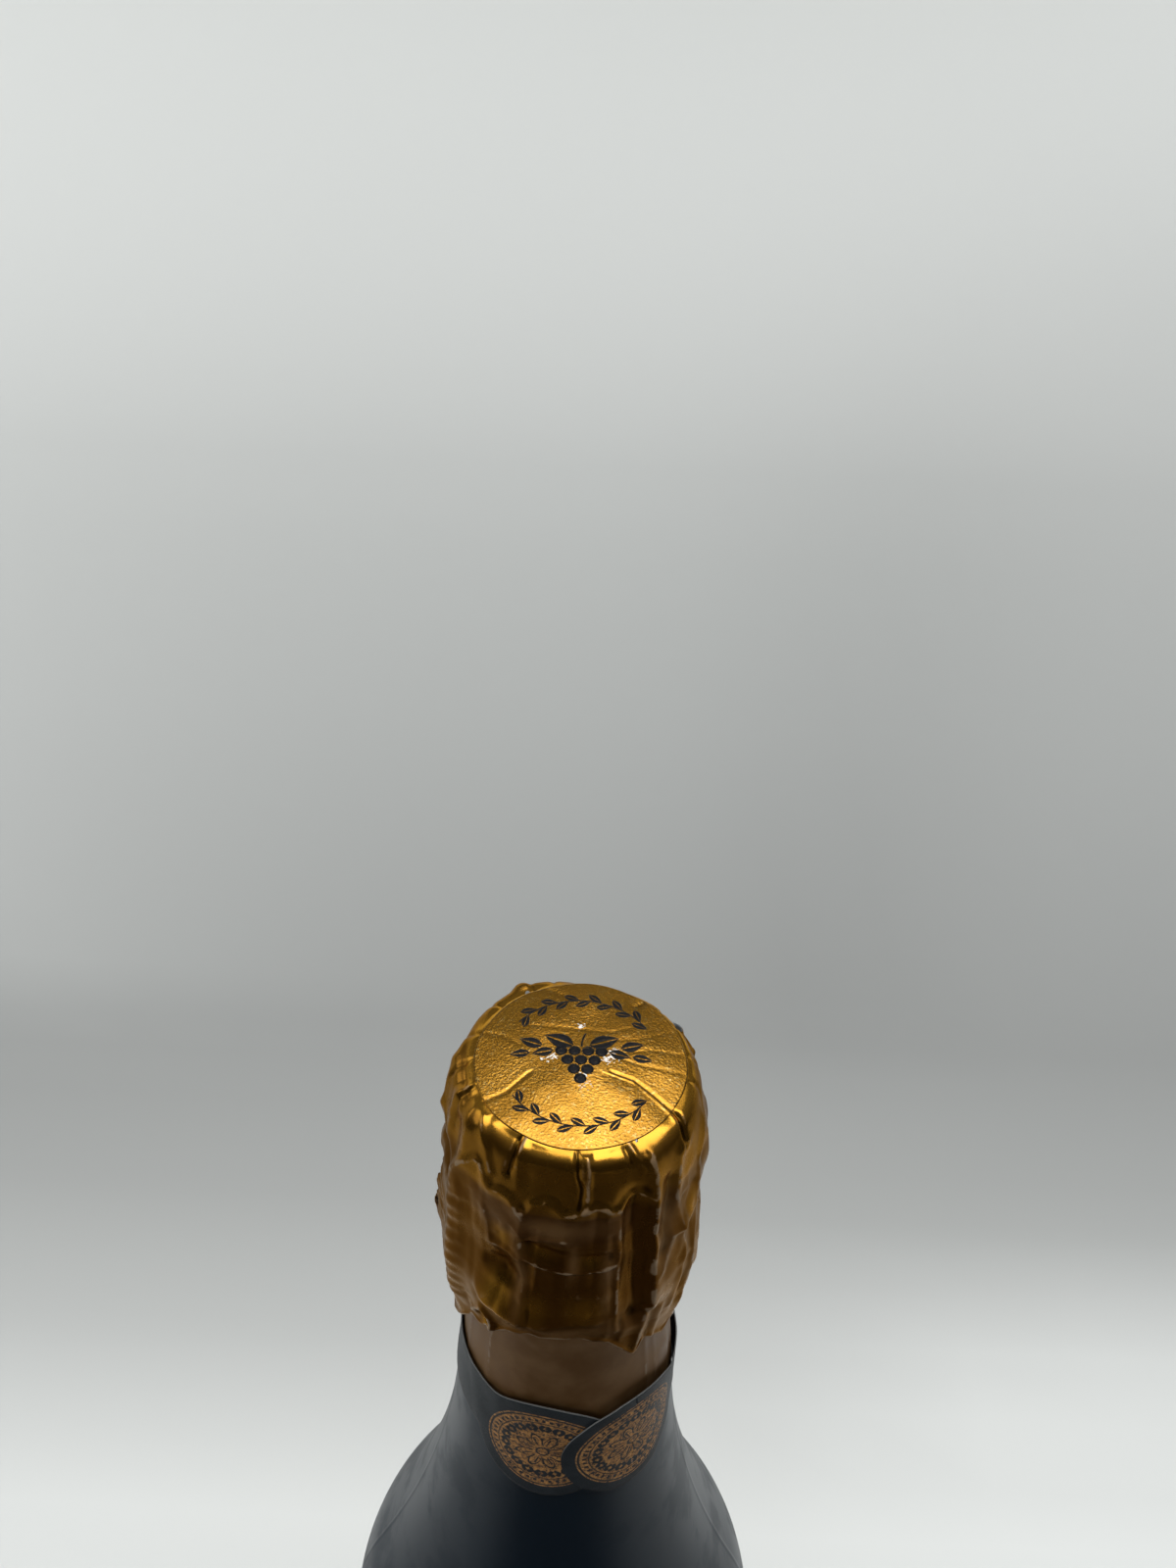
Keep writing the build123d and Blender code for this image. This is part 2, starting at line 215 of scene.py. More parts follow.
def drawFold(field, across, along, girth, line, width, rise, soft=0.0, step=0.0, beads=0.0, pitch=3.0):
    # one fold along a line of (across, along) places: a crest, or a valley where rise is negative.
    # soft rounds its crest, step makes one flank that much steeper, beads adds a wire's twist.
    hollow = 0.6        # how far the flanks of a sharp fold sag
    nearest = np.full(across.shape, np.inf)
    hand = np.zeros(across.shape)
    for (x0, y0), (x1, y1) in zip(line, line[1:]):
        dx, dy = x1 - x0, y1 - y0
        fromX = across - x0
        if girth:
            fromX = (fromX + girth / 2) % girth - girth / 2
        fromY = along - y0
        share = np.clip((fromX * dx + fromY * dy) / max(dx * dx + dy * dy, 1e-9), 0, 1)
        far = np.hypot(fromX - share * dx, fromY - share * dy)
        closer = far < nearest
        nearest = np.where(closer, far, nearest)
        hand = np.where(closer, np.sign(fromX * dy - fromY * dx), hand)
    reach = width * np.where(hand * step > 0, 1 - abs(step), 1.0)
    near = np.clip(1 - nearest / reach, 0, 1)
    sharp = near * (1 - hollow + hollow * near)
    height = rise * (soft * ease(near) + (1 - soft) * sharp)
    if beads:
        height = height * (1 + beads * np.sin(2 * math.pi * (along + 0.5 * hand * nearest) / pitch))
    field += height


def facets(across, along, girth, corners):
    # flat facets between corners given as (across, along, lift), repeated a little past the seam
    beyond, least = 0.15, 1e-9
    corners = [(x + turn * girth, y, lift) for x, y, lift in corners for turn in (-1, 0, 1)
               if -beyond * girth < x + turn * girth < (1 + beyond) * girth]
    flat, _, triangles, origin, _, _ = delaunay_2d_cdt([Vector(c[:2]) for c in corners], [], [], 0, 1e-5)
    lifts = [corners[source[0]][2] for source in origin]
    field = np.zeros(across.shape)
    columns = across[0]
    for triangle in triangles:
        a, b, c = (np.array((*flat[n], lifts[n])) for n in triangle)
        low, high = min(a[0], b[0], c[0]), max(a[0], b[0], c[0])
        picked = np.nonzero((columns >= low) & (columns <= high))[0]
        if not len(picked):
            continue
        span = slice(picked[0], picked[-1] + 1)
        x, y = across[:, span] - c[0], along[:, span] - c[1]
        det = (b[1] - c[1]) * (a[0] - c[0]) + (c[0] - b[0]) * (a[1] - c[1])
        if abs(det) < least:
            continue
        u = ((b[1] - c[1]) * x + (c[0] - b[0]) * y) / det
        v = ((c[1] - a[1]) * x + (a[0] - c[0]) * y) / det
        inside = (u >= -1e-6) & (v >= -1e-6) & (u + v <= 1 + 1e-6)
        lift = u * a[2] + v * b[2] + (1 - u - v) * c[2]
        field[:, span] = np.where(inside, lift, field[:, span])
    return field


def scatterCorners(random, girth, low, high, gap, lift):
    # facet corners spread at random, none nearer to another than the gap
    tries = int(14 * girth * (high - low) / gap ** 2)
    kept = []
    for _ in range(tries):
        x, y = random.uniform(0, girth), random.uniform(low, high)
        clear = all((abs(x - u) > gap and abs(x - u) < girth - gap) or abs(y - v) > gap
                    or math.hypot(min(abs(x - u), girth - abs(x - u)), y - v) > gap for u, v, _ in kept)
        if clear:
            kept.append((x, y, random.uniform(-lift, lift)))
    return kept


print("tools ready")


# Tools for shader nodes

class Tree:
    def __init__(self, tree):
        self.tree = tree

    def feed(self, socket, value):
        if isinstance(value, bpy.types.NodeSocket):
            self.tree.links.new(value, socket)
        else:
            socket.default_value = value

    def add(self, kind, inputs=None, **settings):
        node = self.tree.nodes.new(kind)
        for name, value in settings.items():
            setattr(node, name, value)
        for name, value in (inputs or {}).items():
            self.feed(node.inputs[name], value)
        return node

    def math(self, operation, a, b=0.0, clamp=False):
        return self.add("ShaderNodeMath", {0: a, 1: b}, operation=operation, use_clamp=clamp).outputs[0]

    def plus(self, a, b):
        return self.math("ADD", a, b)

    def minus(self, a, b, clamp=False):
        return self.math("SUBTRACT", a, b, clamp)

    def times(self, a, b):
        return self.math("MULTIPLY", a, b)

    def larger(self, a, b):
        return self.math("MAXIMUM", a, b)

    def apart(self, a, b):
        # how far apart two values are
        return self.math("ABSOLUTE", self.minus(a, b))

    def mix(self, share, a, b, blend="MIX"):
        node = self.add("ShaderNodeMix", {0: share, 6: a, 7: b}, data_type="RGBA", blend_type=blend)
        return node.outputs[2]

    def ramp(self, value, low, high, start=0.0, end=1.0):
        # start to end as the value goes from low to high, eased at both ends
        node = self.add("ShaderNodeMapRange", {0: value, 1: low, 2: high, 3: start, 4: end},
                        interpolation_type="SMOOTHSTEP")
        return node.outputs[0]

    def spread(self, noise, start=0.0, end=1.0):
        # a noise's usual values stretched over start to end
        return self.ramp(noise, 0.3, 0.7, start, end)

    def field(self, name):
        return self.add("ShaderNodeAttribute", attribute_name=name).outputs["Fac"]

    def place(self):
        # the place on the object in mm
        spot = self.add("ShaderNodeTexCoord").outputs["Object"]
        return self.add("ShaderNodeVectorMath", {0: spot, "Scale": 1 / mm}, operation="SCALE").outputs[0]

    def noise(self, place, scale, detail=3.0, roughness=0.5):
        return self.add("ShaderNodeTexNoise", {"Vector": place, "Scale": scale, "Detail": detail,
                                               "Roughness": roughness}).outputs["Fac"]

    def cells(self, place, scale, feature="F1"):
        node = self.add("ShaderNodeTexVoronoi", {"Vector": place, "Scale": scale}, feature=feature)
        return node.outputs["Distance"]

    def bump(self, height, distance, strength=1.0):
        inputs = {"Height": height, "Distance": distance * mm, "Strength": strength}
        return self.add("ShaderNodeBump", inputs).outputs["Normal"]

    def group(self, effect, **inputs):
        node = self.add("ShaderNodeGroup", node_tree=effect)
        for name, value in inputs.items():
            self.feed(node.inputs[name], value)
        return node.outputs


def newEffect(name, inputs, outputs):
    # a shader node group with named float sockets
    effect = bpy.data.node_groups.new(name, "ShaderNodeTree")
    for title, value in inputs.items():
        socket = effect.interface.new_socket(title, in_out="INPUT", socket_type="NodeSocketFloat")
        socket.default_value = value
    for title in outputs:
        effect.interface.new_socket(title, in_out="OUTPUT", socket_type="NodeSocketFloat")
    tree = Tree(effect)
    return effect, tree, tree.add("NodeGroupInput").outputs, tree.add("NodeGroupOutput").inputs


def newMaterial(name, **constants):
    material = bpy.data.materials.new(name)
    material.use_nodes = True
    tree = Tree(material.node_tree)
    shader = next(n for n in material.node_tree.nodes if n.type == "BSDF_PRINCIPLED")
    for title, value in constants.items():
        shader.inputs[title.replace("_", " ")].default_value = value
    return material, tree, shader.inputs


# Studio: a pale floor that turns up into a backdrop, soft light from above and behind, dark camera side

studio = {
    "floorEnd": 750.0, "bend": 350.0, "wallTop": 520.0, "halfWidth": 1500.0, "front": -1500.0,
    # travel along floor and wall in mm, and the grey painted there: painted light and shade, darkest in a
    # band beyond the bottle
    "paintedLightGreys": ((-400, 0.70), (75, 0.69), (140, 0.47), (200, 0.36), (290, 0.29), (540, 0.375), (850, 0.465),
              (1360, 0.81)),
    "tint": (0.975, 1.0, 0.978, 1.0),
    # the world's light: how much behind and above count towards its bright side, and where it turns bright
    "skyBright": (0.145, 0.15, 0.155, 1.0), "skyDark": (0.018, 0.018, 0.020, 1.0),
    "skyBehind": 0.75, "skyAbove": 0.65, "skyEdge": (-0.12, 0.42),
    "skySeen": (0.50, 0.515, 0.505, 1.0),       # what the camera sees past the backdrop
    # dark card round the front, painted shade for the floor on the camera side: radii, height, colour, how
    # much it covers by angle from the front, its end
    "card": (52.0, 1400.0), "cardHeight": 2.0, "floorShadeColour": (0.055, 0.050, 0.045, 1),
    "cover": ((0, 1.0), (32, 1.0), (60, 0.62), (95, 0.45), (125, 0.0), (180, 0.0)), "cardHalf": 125.0,
}

# How the painted light and shade on the backdrop change to the sides, as shares of its grey. Places across
# count in half picture widths, places along in mm of travel; pairs are where a change starts and where it is
# full.
sideShades = {
    "cameraAway": 131.0, "nearest": 150.0, "halfPicture": 0.43, "widest": 1.4,
    "wall": (250.0, 330.0), "leftPaler": 0.15, "leftLowDarker": 0.05,
    "dip": 0.09, "dipAcross": 0.55, "dipHalf": 0.4, "dipEnd": (1150.0, 750.0),
    "rightTopPaler": 0.22, "rightTop": (1000.0, 1350.0),
    "rightLowPaler": 0.22, "rightLow": 142.0, "rightLowHalf": 38.0,
}

# Area lamps in m and watts; foil doesn't mirror those that only fill
lamps = {
    "overheadSoftbox": {"at": (0.13, 0.21, 1.55), "size": (1.1, 0.94), "watts": 8.7,
                        "aim": (0.12, 0.20, 0.3), "mirrored": True},
    "ceilingFill": {"at": (0.0, 0.34, 1.6), "size": (1.2, 0.9), "watts": 8.5, "aim": (0.0, 0.1, 0.25),
                    "mirrored": False},
    "wallWash": {"at": (0.0, -0.1, 2.3), "size": (1.6, 0.6), "watts": 27.0, "aim": (0.0, 1.1, 1.4),
                 "mirrored": False},
    "leftWash": {"at": (-1.1, 0.25, 0.75), "size": (0.5, 0.9), "watts": 1.5, "aim": (0.0, 0.0, 0.22),
                 "mirrored": True},
    "frontFill": {"at": (-0.60, -1.00, 0.75), "size": (0.9, 0.9), "watts": 4.2, "aim": (0.0, 0.0, 0.22),
                  "mirrored": False},
}


def softLight(name, facts):
    data = bpy.data.lights.new(name, "AREA")
    data.shape = "RECTANGLE"
    data.size, data.size_y = facts["size"]
    data.energy = facts["watts"]
    lamp = bpy.data.objects.new(name, data)
    lamp.location = facts["at"]
    aim = Vector(facts["aim"]) - lamp.location
    lamp.rotation_euler = aim.to_track_quat("-Z", "Y").to_euler()
    lamp.visible_glossy = facts["mirrored"]
    scene.collection.objects.link(lamp)


def buildWorld():
    world = bpy.data.worlds.new("studio")
    scene.world = world
    world.use_nodes = True
    tree = Tree(world.node_tree)
    way = tree.add("ShaderNodeTexCoord").outputs["Generated"]
    part = tree.add("ShaderNodeSeparateXYZ", {0: way}).outputs
    lit = tree.plus(tree.times(part[1], studio["skyBehind"]), tree.times(part[2], studio["skyAbove"]))
    tone = tree.mix(tree.ramp(lit, *studio["skyEdge"]), studio["skyDark"], studio["skyBright"])
    tone = tree.mix(tree.add("ShaderNodeLightPath").outputs["Is Camera Ray"], tone, studio["skySeen"])
    background = next(n for n in world.node_tree.nodes if n.type == "BACKGROUND")
    tree.feed(background.inputs["Color"], tone)
    background.inputs["Strength"].default_value = 1.0


def sidePaintedLight(across, away, travel):
    # painted light and shade of the backdrop, as a share of its grey in the middle
    s = sideShades
    aside = across / np.maximum(away + s["cameraAway"], s["nearest"]) / s["halfPicture"]
    left, right = np.clip(-aside, 0, s["widest"]), np.clip(aside, 0, s["widest"])
    wall = fadeIn(travel, *s["wall"])
    dip = np.exp(-((aside - s["dipAcross"]) / s["dipHalf"]) ** 2) * fadeIn(travel, *s["dipEnd"])
    low = np.exp(-((travel - s["rightLow"]) / s["rightLowHalf"]) ** 2)
    pale = wall * s["leftPaler"] * left ** 2 - (1 - wall) * s["leftLowDarker"] * np.clip(2 * left, 0, 1)
    pale = pale - wall * s["dip"] * dip
    pale = pale + fadeIn(travel, *s["rightTop"]) * s["rightTopPaler"] * right ** 2
    return 1 + pale + s["rightLowPaler"] * right * low


def buildBackdrop():
    paint, tree, shader = newMaterial("backdropPaint", Roughness=0.9, Specular_IOR_Level=0.0)
    begin = studio["paintedLightGreys"][0][0]
    span = studio["paintedLightGreys"][-1][0] - begin
    ramp = tree.add("ShaderNodeValToRGB")
    tree.feed(ramp.inputs[0], tree.math("DIVIDE", tree.minus(tree.field("travel"), begin), span))
    stops = ramp.color_ramp.elements
    stops.remove(stops[1])
    for number, (travel, grey) in enumerate(studio["paintedLightGreys"]):
        stop = stops[0] if number == 0 else stops.new((travel - begin) / span)
        stop.color = [grey * c for c in studio["tint"][:3]] + [1]
    # the greys and the pale field paint the fall of the studio light onto the backdrop: painted light and
    # shade
    tree.feed(shader["Base Color"], tree.mix(1.0, ramp.outputs[0], tree.field("pale"), "MULTIPLY"))

    turns = np.radians(np.linspace(0, 90, 25))
    bend = studio["bend"]
    floor = [(y, 0.0) for y in np.linspace(studio["front"], studio["floorEnd"], 90)]
    curve = [(studio["floorEnd"] + bend * math.sin(a), bend - bend * math.cos(a)) for a in turns[1:]]
    wall = [(studio["floorEnd"] + bend, z) for z in np.linspace(bend, studio["wallTop"], 30)[1:]]
    line = np.array(floor + curve + wall)
    travel = studio["front"] + np.concatenate([[0], np.cumsum(np.hypot(*np.diff(line, axis=0).T))])
    travel = travel[:, None]
    across = np.linspace(-studio["halfWidth"], studio["halfWidth"], 61)[None]
    points = np.stack(np.broadcast_arrays(across, line[:, :1], line[:, 1:]), -1)
    pale = sidePaintedLight(across, line[:, :1], travel)
    gridPiece("backdrop", points[::-1], paint, closed=False, travel=travel[::-1], pale=pale[::-1])


def buildFloorShadeCard():
    # a dark card lying in front, seen only in reflections: painted shade standing in for the shade on the
    # floor on the camera side, laid as a studio would flag it
    black, tree, shader = newMaterial("floorShadeBlack", Roughness=1.0, Specular_IOR_Level=0.0)
    shader["Base Color"].default_value = studio["floorShadeColour"]
    tree.feed(shader["Alpha"], tree.field("cover"))
    angles = np.linspace(-studio["cardHalf"], studio["cardHalf"], 101)
    radii = np.linspace(*studio["card"], 12)[:, None]
    card = gridPiece("floorShadeCard", around(radii, angles[None], studio["cardHeight"]), black, closed=False,
                     cover=byAngle(studio["cover"], np.abs(angles)))
    card.visible_camera = False
    card.visible_diffuse = False
    card.visible_shadow = False
    card.visible_transmission = False


scene.view_settings.view_transform = "Standard"
buildWorld()
for title, facts in lamps.items():
    softLight(title, facts)
buildBackdrop()
buildFloorShadeCard()
print("studio ready")


# Effects shared by several materials; scales are per mm

def buildFoilEffect():
    # worn crests, painted shade darkening the valleys, broad patches and satin grain of lacquered foil
    effect, tree, given, result = newEffect(
        "foilWearAndShade", {"Ridge": 0.0, "Wear": 0.5, "Grime": 0.5, "Grain": 4.0},
        ("Worn", "CreaseShade", "Patch", "Height"))
    place = tree.place()
    broken = tree.noise(place, 0.33, 4.0, 0.6)
    edge = tree.times(given["Ridge"], tree.ramp(broken, 0.40, 0.62, 0.1, 1.3))
    tree.feed(result["Worn"], tree.ramp(tree.times(edge, given["Wear"]), 0.30, 0.95))
    # painted shade: the valleys, where the ridge field is below zero, are darkened
    sunk = tree.times(tree.times(given["Ridge"], -1.0), given["Grime"])
    tree.feed(result["CreaseShade"], tree.ramp(sunk, 0.15, 0.9))
    tree.feed(result["Patch"], tree.noise(place, 0.16, 3.0, 0.55))
    tree.feed(result["Height"], tree.noise(place, given["Grain"], 2.0))
    return effect


def buildPeelEffect():
    # orange peel as on embossed gold foil, with painted glints
    effect, tree, given, result = newEffect("orangePeelAndGlint", {"Size": 2.2}, ("Height", "PaintedGlint"))
    place = tree.place()
    warp = tree.noise(place, 1.3, 2.0)
    lumps = tree.cells(place, given["Size"], "SMOOTH_F1")
    pits = tree.noise(place, given["Size"], 4.0, 0.65)
    tree.feed(result["Height"], tree.plus(tree.times(lumps, -0.6), pits))
    # painted highlight: fine glints to be brightened into the colour
    tree.feed(result["PaintedGlint"], tree.ramp(tree.times(pits, warp), 0.30, 0.42))
    return effect


def buildPaperEffect():
    # fibres and faint clouds of paper, with scuffed spots
    effect, tree, given, result = newEffect("paperFibre", {"Scuff": 0.3}, ("Fibre", "Cloud", "Scuffed"))
    place = tree.place()
    drawnOut = tree.add("ShaderNodeVectorMath", {0: place, 1: (0.5, 0.5, 2.2)}, operation="MULTIPLY")
    tree.feed(result["Fibre"], tree.noise(drawnOut.outputs[0], 5.0, 4.0, 0.7))
    tree.feed(result["Cloud"], tree.noise(place, 0.25, 3.0, 0.6))
    spots = tree.ramp(tree.noise(place, 2.3, 4.0, 0.7), 0.52, 0.72)
    tree.feed(result["Scuffed"], tree.times(spots, given["Scuff"]))
    return effect


def buildDustEffect():
    # fine dust and smears on smooth surfaces
    effect, tree, given, result = newEffect("fineDust", {"Amount": 0.5}, ("Dust", "Smear"))
    place = tree.place()
    specks = tree.ramp(tree.cells(place, 1.4), 0.10, 0.05)
    smear = tree.noise(place, 0.09, 4.0, 0.6)
    tree.feed(result["Dust"], tree.times(specks, given["Amount"]))
    tree.feed(result["Smear"], tree.times(tree.ramp(smear, 0.42, 0.66), given["Amount"]))
    return effect


foilWearAndShade = buildFoilEffect()
orangePeelAndGlint = buildPeelEffect()
paperFibre = buildPaperEffect()
fineDust = buildDustEffect()


# Materials. Pairs of roughness and metallic are their least and most over a material's patches;
# grain, peel, ripple and relief are heights of the bump in mm.

hoodFinish = {
    "gold": (0.72, 0.35, 0.042, 1), "goldDark": (0.576, 0.28, 0.0336, 1), "brown": (0.120, 0.043, 0.008, 1),
    "haze": (0.200, 0.105, 0.036, 1), "tint": (0.80, 0.66, 0.50, 1.0),
    # painted shade: the near-black colour on this line darkens the valleys of the crumples
    "worn": (0.27, 0.20, 0.13, 1), "wornShare": 0.7, "shadeColour": (0.016, 0.006, 0.001, 1), "shadeShare": 0.75,
    # what brown lacquer, haze and worn places take off the metallic, and what the first two add to the
    # roughness
    "metallic": 1.0, "brownMatte": 0.06, "hazeMatte": 0.45, "wornMatte": 0.4,
    "roughness": (0.16, 0.27), "brownRough": 0.10, "hazeRough": 0.22, "grain": 0.010,
}


def buildHoodMaterial():
    f = hoodFinish
    material, tree, shader = newMaterial("crumpledGoldFoil", Specular_Tint=f["tint"])
    wearAndShade = tree.group(foilWearAndShade, Ridge=tree.field("ridge"), Wear=1.0, Grime=0.8, Grain=5.0)
    dull = tree.field("dull")
    colour = tree.mix(tree.ramp(wearAndShade["Patch"], 0.35, 0.68), f["gold"], f["goldDark"])
    colour = tree.mix(dull, colour, f["brown"])
    haze = tree.times(tree.field("haze"), tree.ramp(wearAndShade["Patch"], 0.3, 0.6, 0.6, 1.0))
    colour = tree.mix(haze, colour, f["haze"])
    # painted shade darkens the valleys of the folds and crumples
    colour = tree.mix(tree.times(wearAndShade["CreaseShade"], f["shadeShare"]), colour, f["shadeColour"])
    colour = tree.mix(tree.times(wearAndShade["Worn"], f["wornShare"]), colour, f["worn"])
    tree.feed(shader["Base Color"], colour)
    metal = tree.minus(f["metallic"], tree.times(dull, f["brownMatte"]))
    metal = tree.minus(metal, tree.times(haze, f["hazeMatte"]))
    metal = tree.minus(metal, tree.times(wearAndShade["Worn"], f["wornMatte"]), clamp=True)
    tree.feed(shader["Metallic"], metal)
    rough = tree.plus(tree.spread(wearAndShade["Patch"], *f["roughness"]), tree.times(dull, f["brownRough"]))
    tree.feed(shader["Roughness"], tree.plus(rough, tree.times(haze, f["hazeRough"])))
    tree.feed(shader["Normal"], tree.bump(wearAndShade["Height"], f["grain"]))
    return material


discFinish = {
    # the bright yellow on this line is a painted highlight for fine glints; the dark brown on the next is
    # painted shade for the creases and the edge
    "gold": (0.74, 0.37, 0.055, 1), "deep": (0.58, 0.28, 0.038, 1), "paintedGlint": (0.98, 0.74, 0.32, 1),
    "paintedGlintShare": 0.35, "shadeColour": (0.16, 0.09, 0.02, 1), "shadeShare": 0.6, "roughness": (0.17, 0.25),
    "lumps": 2.6, "peel": 0.032,
    # where the gold has chipped off: x, y and size in mm at the disc's level
    "chip": (0.74, 0.72, 0.68, 1), "level": 320.0, "ragged": -7.0, "chipEdge": (-3.0, -3.25),
    "chips": ((4.4, 0.9, 1.2), (3.7, 0.2, 0.8), (0.4, -2.6, 0.7), (0.6, -4.4, 0.9), (-4.4, 0.3, 0.9),
              (-0.2, 6.4, 0.7), (5.1, 1.9, 0.7), (-5.6, -0.2, 0.5), (6.6, 3.2, 0.4)),
}


def buildDiscMaterial():
    f = discFinish
    material, tree, shader = newMaterial("satinGoldDisc", Metallic=1.0)
    place = tree.place()
    peel = tree.group(orangePeelAndGlint, Size=f["lumps"])
    wearAndShade = tree.group(foilWearAndShade, Ridge=tree.field("ridge"), Wear=0.9, Grime=0.6, Grain=5.0)
    colour = tree.mix(tree.ramp(wearAndShade["Patch"], 0.35, 0.65), f["gold"], f["deep"])
    # painted highlight: fine glints brightened into the colour
    colour = tree.mix(tree.times(peel["PaintedGlint"], f["paintedGlintShare"]), colour, f["paintedGlint"])
    # painted shade darkens the creases and the disc's edge
    colour = tree.mix(tree.times(wearAndShade["CreaseShade"], f["shadeShare"]), colour, f["shadeColour"])
    ragged = tree.noise(place, 1.9, 5.0, 0.75)
    chipped = 0.0
    for x, y, size in f["chips"]:
        away = tree.add("ShaderNodeVectorMath", {0: place, 1: (x, y, f["level"])}, operation="DISTANCE")
        edge = tree.plus(tree.math("DIVIDE", away.outputs["Value"], size), tree.times(ragged, f["ragged"]))
        chipped = tree.larger(chipped, tree.ramp(edge, *f["chipEdge"]))
    tree.feed(shader["Base Color"], tree.mix(chipped, colour, f["chip"]))
    tree.feed(shader["Metallic"], tree.minus(1.0, chipped))
    tree.feed(shader["Roughness"], tree.spread(wearAndShade["Patch"], *f["roughness"]))
    tree.feed(shader["Normal"], tree.bump(peel["Height"], f["peel"]))
    return material


neckFinish = {
    "brown": (0.175, 0.085, 0.026, 1), "pale": (0.250, 0.140, 0.060, 1),
    # painted shade: the dark brown on this line darkens the foil's valleys
    "worn": (0.42, 0.37, 0.30, 1), "wornShare": 0.45, "shadeColour": (0.05, 0.03, 0.015, 1), "shadeShare": 0.5,
    "metallic": 0.60, "wornMatte": 0.2, "roughness": (0.42, 0.58), "grain": 0.012,
}


def buildNeckMaterial():
    f = neckFinish
    material, tree, shader = newMaterial("matteBrownFoil")
    wearAndShade = tree.group(foilWearAndShade, Ridge=tree.field("ridge"), Wear=1.0, Grime=0.5, Grain=4.0)
    colour = tree.mix(tree.spread(wearAndShade["Patch"]), f["brown"], f["pale"])
    colour = tree.mix(tree.times(wearAndShade["Worn"], f["wornShare"]), colour, f["worn"])
    # painted shade darkens the foil's valleys
    colour = tree.mix(tree.times(wearAndShade["CreaseShade"], f["shadeShare"]), colour, f["shadeColour"])
    tree.feed(shader["Base Color"], colour)
    tree.feed(shader["Metallic"], tree.minus(f["metallic"], tree.times(wearAndShade["Worn"], f["wornMatte"])))
    tree.feed(shader["Roughness"], tree.spread(wearAndShade["Patch"], *f["roughness"]))
    tree.feed(shader["Normal"], tree.bump(wearAndShade["Height"], f["grain"]))
    return material


glassFinish = {
    "green": (0.001, 0.011, 0.024, 1), "deep": (0.001, 0.008, 0.018, 1), "deepShare": 0.5,
    "dust": (0.13, 0.14, 0.15, 1), "dustShare": 0.35, "tint": (0.72, 0.84, 1.0, 1.0),
    "ior": 1.40, "clear": 0.4, "roughness": (0.34, 0.42), "ripple": 0.05, "rippleStrength": 0.4,
}


def buildGlassMaterial():
    f = glassFinish
    material, tree, shader = newMaterial("darkBottleGlass", Metallic=0.0, IOR=f["ior"],
                                         Transmission_Weight=f["clear"], Specular_Tint=f["tint"])
    dust = tree.group(fineDust, Amount=0.5)
    ripple = tree.noise(tree.place(), 0.05, 2.0)
    colour = tree.mix(tree.times(dust["Dust"], f["dustShare"]), f["green"], f["dust"])
    colour = tree.mix(tree.spread(ripple, 0.0, f["deepShare"]), colour, f["deep"])
    tree.feed(shader["Base Color"], colour)
    tree.feed(shader["Roughness"], tree.ramp(dust["Smear"], 0.0, 0.5, *f["roughness"]))
    tree.feed(shader["Normal"], tree.bump(ripple, f["ripple"], f["rippleStrength"]))
    return material


wineFinish = {"pale": (0.86, 0.72, 0.36, 1), "deep": (0.80, 0.66, 0.30, 1), "ior": 1.34}


def buildWineMaterial():
    f = wineFinish
    material, tree, shader = newMaterial("paleWine", Metallic=0.0, IOR=f["ior"], Transmission_Weight=1.0,
                                         Roughness=0.02)
    tree.feed(shader["Base Color"], tree.mix(tree.noise(tree.place(), 0.06, 2.0), f["pale"], f["deep"]))
    return material


corkFinish = {
    # colours of the crumbs, crumbs per mm, and how many dark pores
    "agglomeratedCork": {"pale": (0.50, 0.32, 0.16, 1), "dark": (0.27, 0.15, 0.065, 1), "crumbs": 0.55,
                         "pores": 0.8},
    "naturalCork": {"pale": (0.56, 0.37, 0.19, 1), "dark": (0.40, 0.24, 0.11, 1), "crumbs": 0.18,
                    "pores": 0.6},
    "pore": (0.10, 0.05, 0.02, 1), "poreDepth": 0.9, "roughness": (0.72, 0.9), "relief": 0.12,
}


def buildCorkMaterial(name):
    f, kind = corkFinish, corkFinish[name]
    material, tree, shader = newMaterial(name, Specular_IOR_Level=0.2)
    place = tree.place()
    crumbs = tree.cells(place, kind["crumbs"])
    fine = tree.noise(place, 2.5, 5.0, 0.7)
    pores = tree.ramp(tree.noise(place, 1.2, 4.0, 0.8), 0.60, 0.68)
    tone = tree.mix(tree.ramp(crumbs, 0.1, 0.8), kind["pale"], kind["dark"])
    tone = tree.mix(tree.spread(fine, 0.0, 0.5), tone, kind["dark"])
    tree.feed(shader["Base Color"], tree.mix(tree.times(pores, kind["pores"]), tone, f["pore"]))
    tree.feed(shader["Roughness"], tree.spread(fine, *f["roughness"]))
    height = tree.minus(fine, tree.times(pores, f["poreDepth"]))
    tree.feed(shader["Normal"], tree.bump(height, f["relief"]))
    return material


wireFinish = {
    "dark": (0.30, 0.32, 0.33, 1), "bright": (0.52, 0.54, 0.55, 1), "metallic": (1.0, 0.7),
    "roughness": (0.28, 0.46), "relief": 0.015,
}


def buildWireMaterial():
    f = wireFinish
    material, tree, shader = newMaterial("galvanisedWire")
    dust = tree.group(fineDust, Amount=0.8)
    drawn = tree.noise(tree.place(), 3.0, 4.0, 0.7)
    tree.feed(shader["Base Color"], tree.mix(drawn, f["dark"], f["bright"]))
    tree.feed(shader["Metallic"], tree.ramp(dust["Smear"], 0.0, 0.8, *f["metallic"]))
    tree.feed(shader["Roughness"], tree.spread(drawn, *f["roughness"]))
    tree.feed(shader["Normal"], tree.bump(drawn, f["relief"]))
    return material


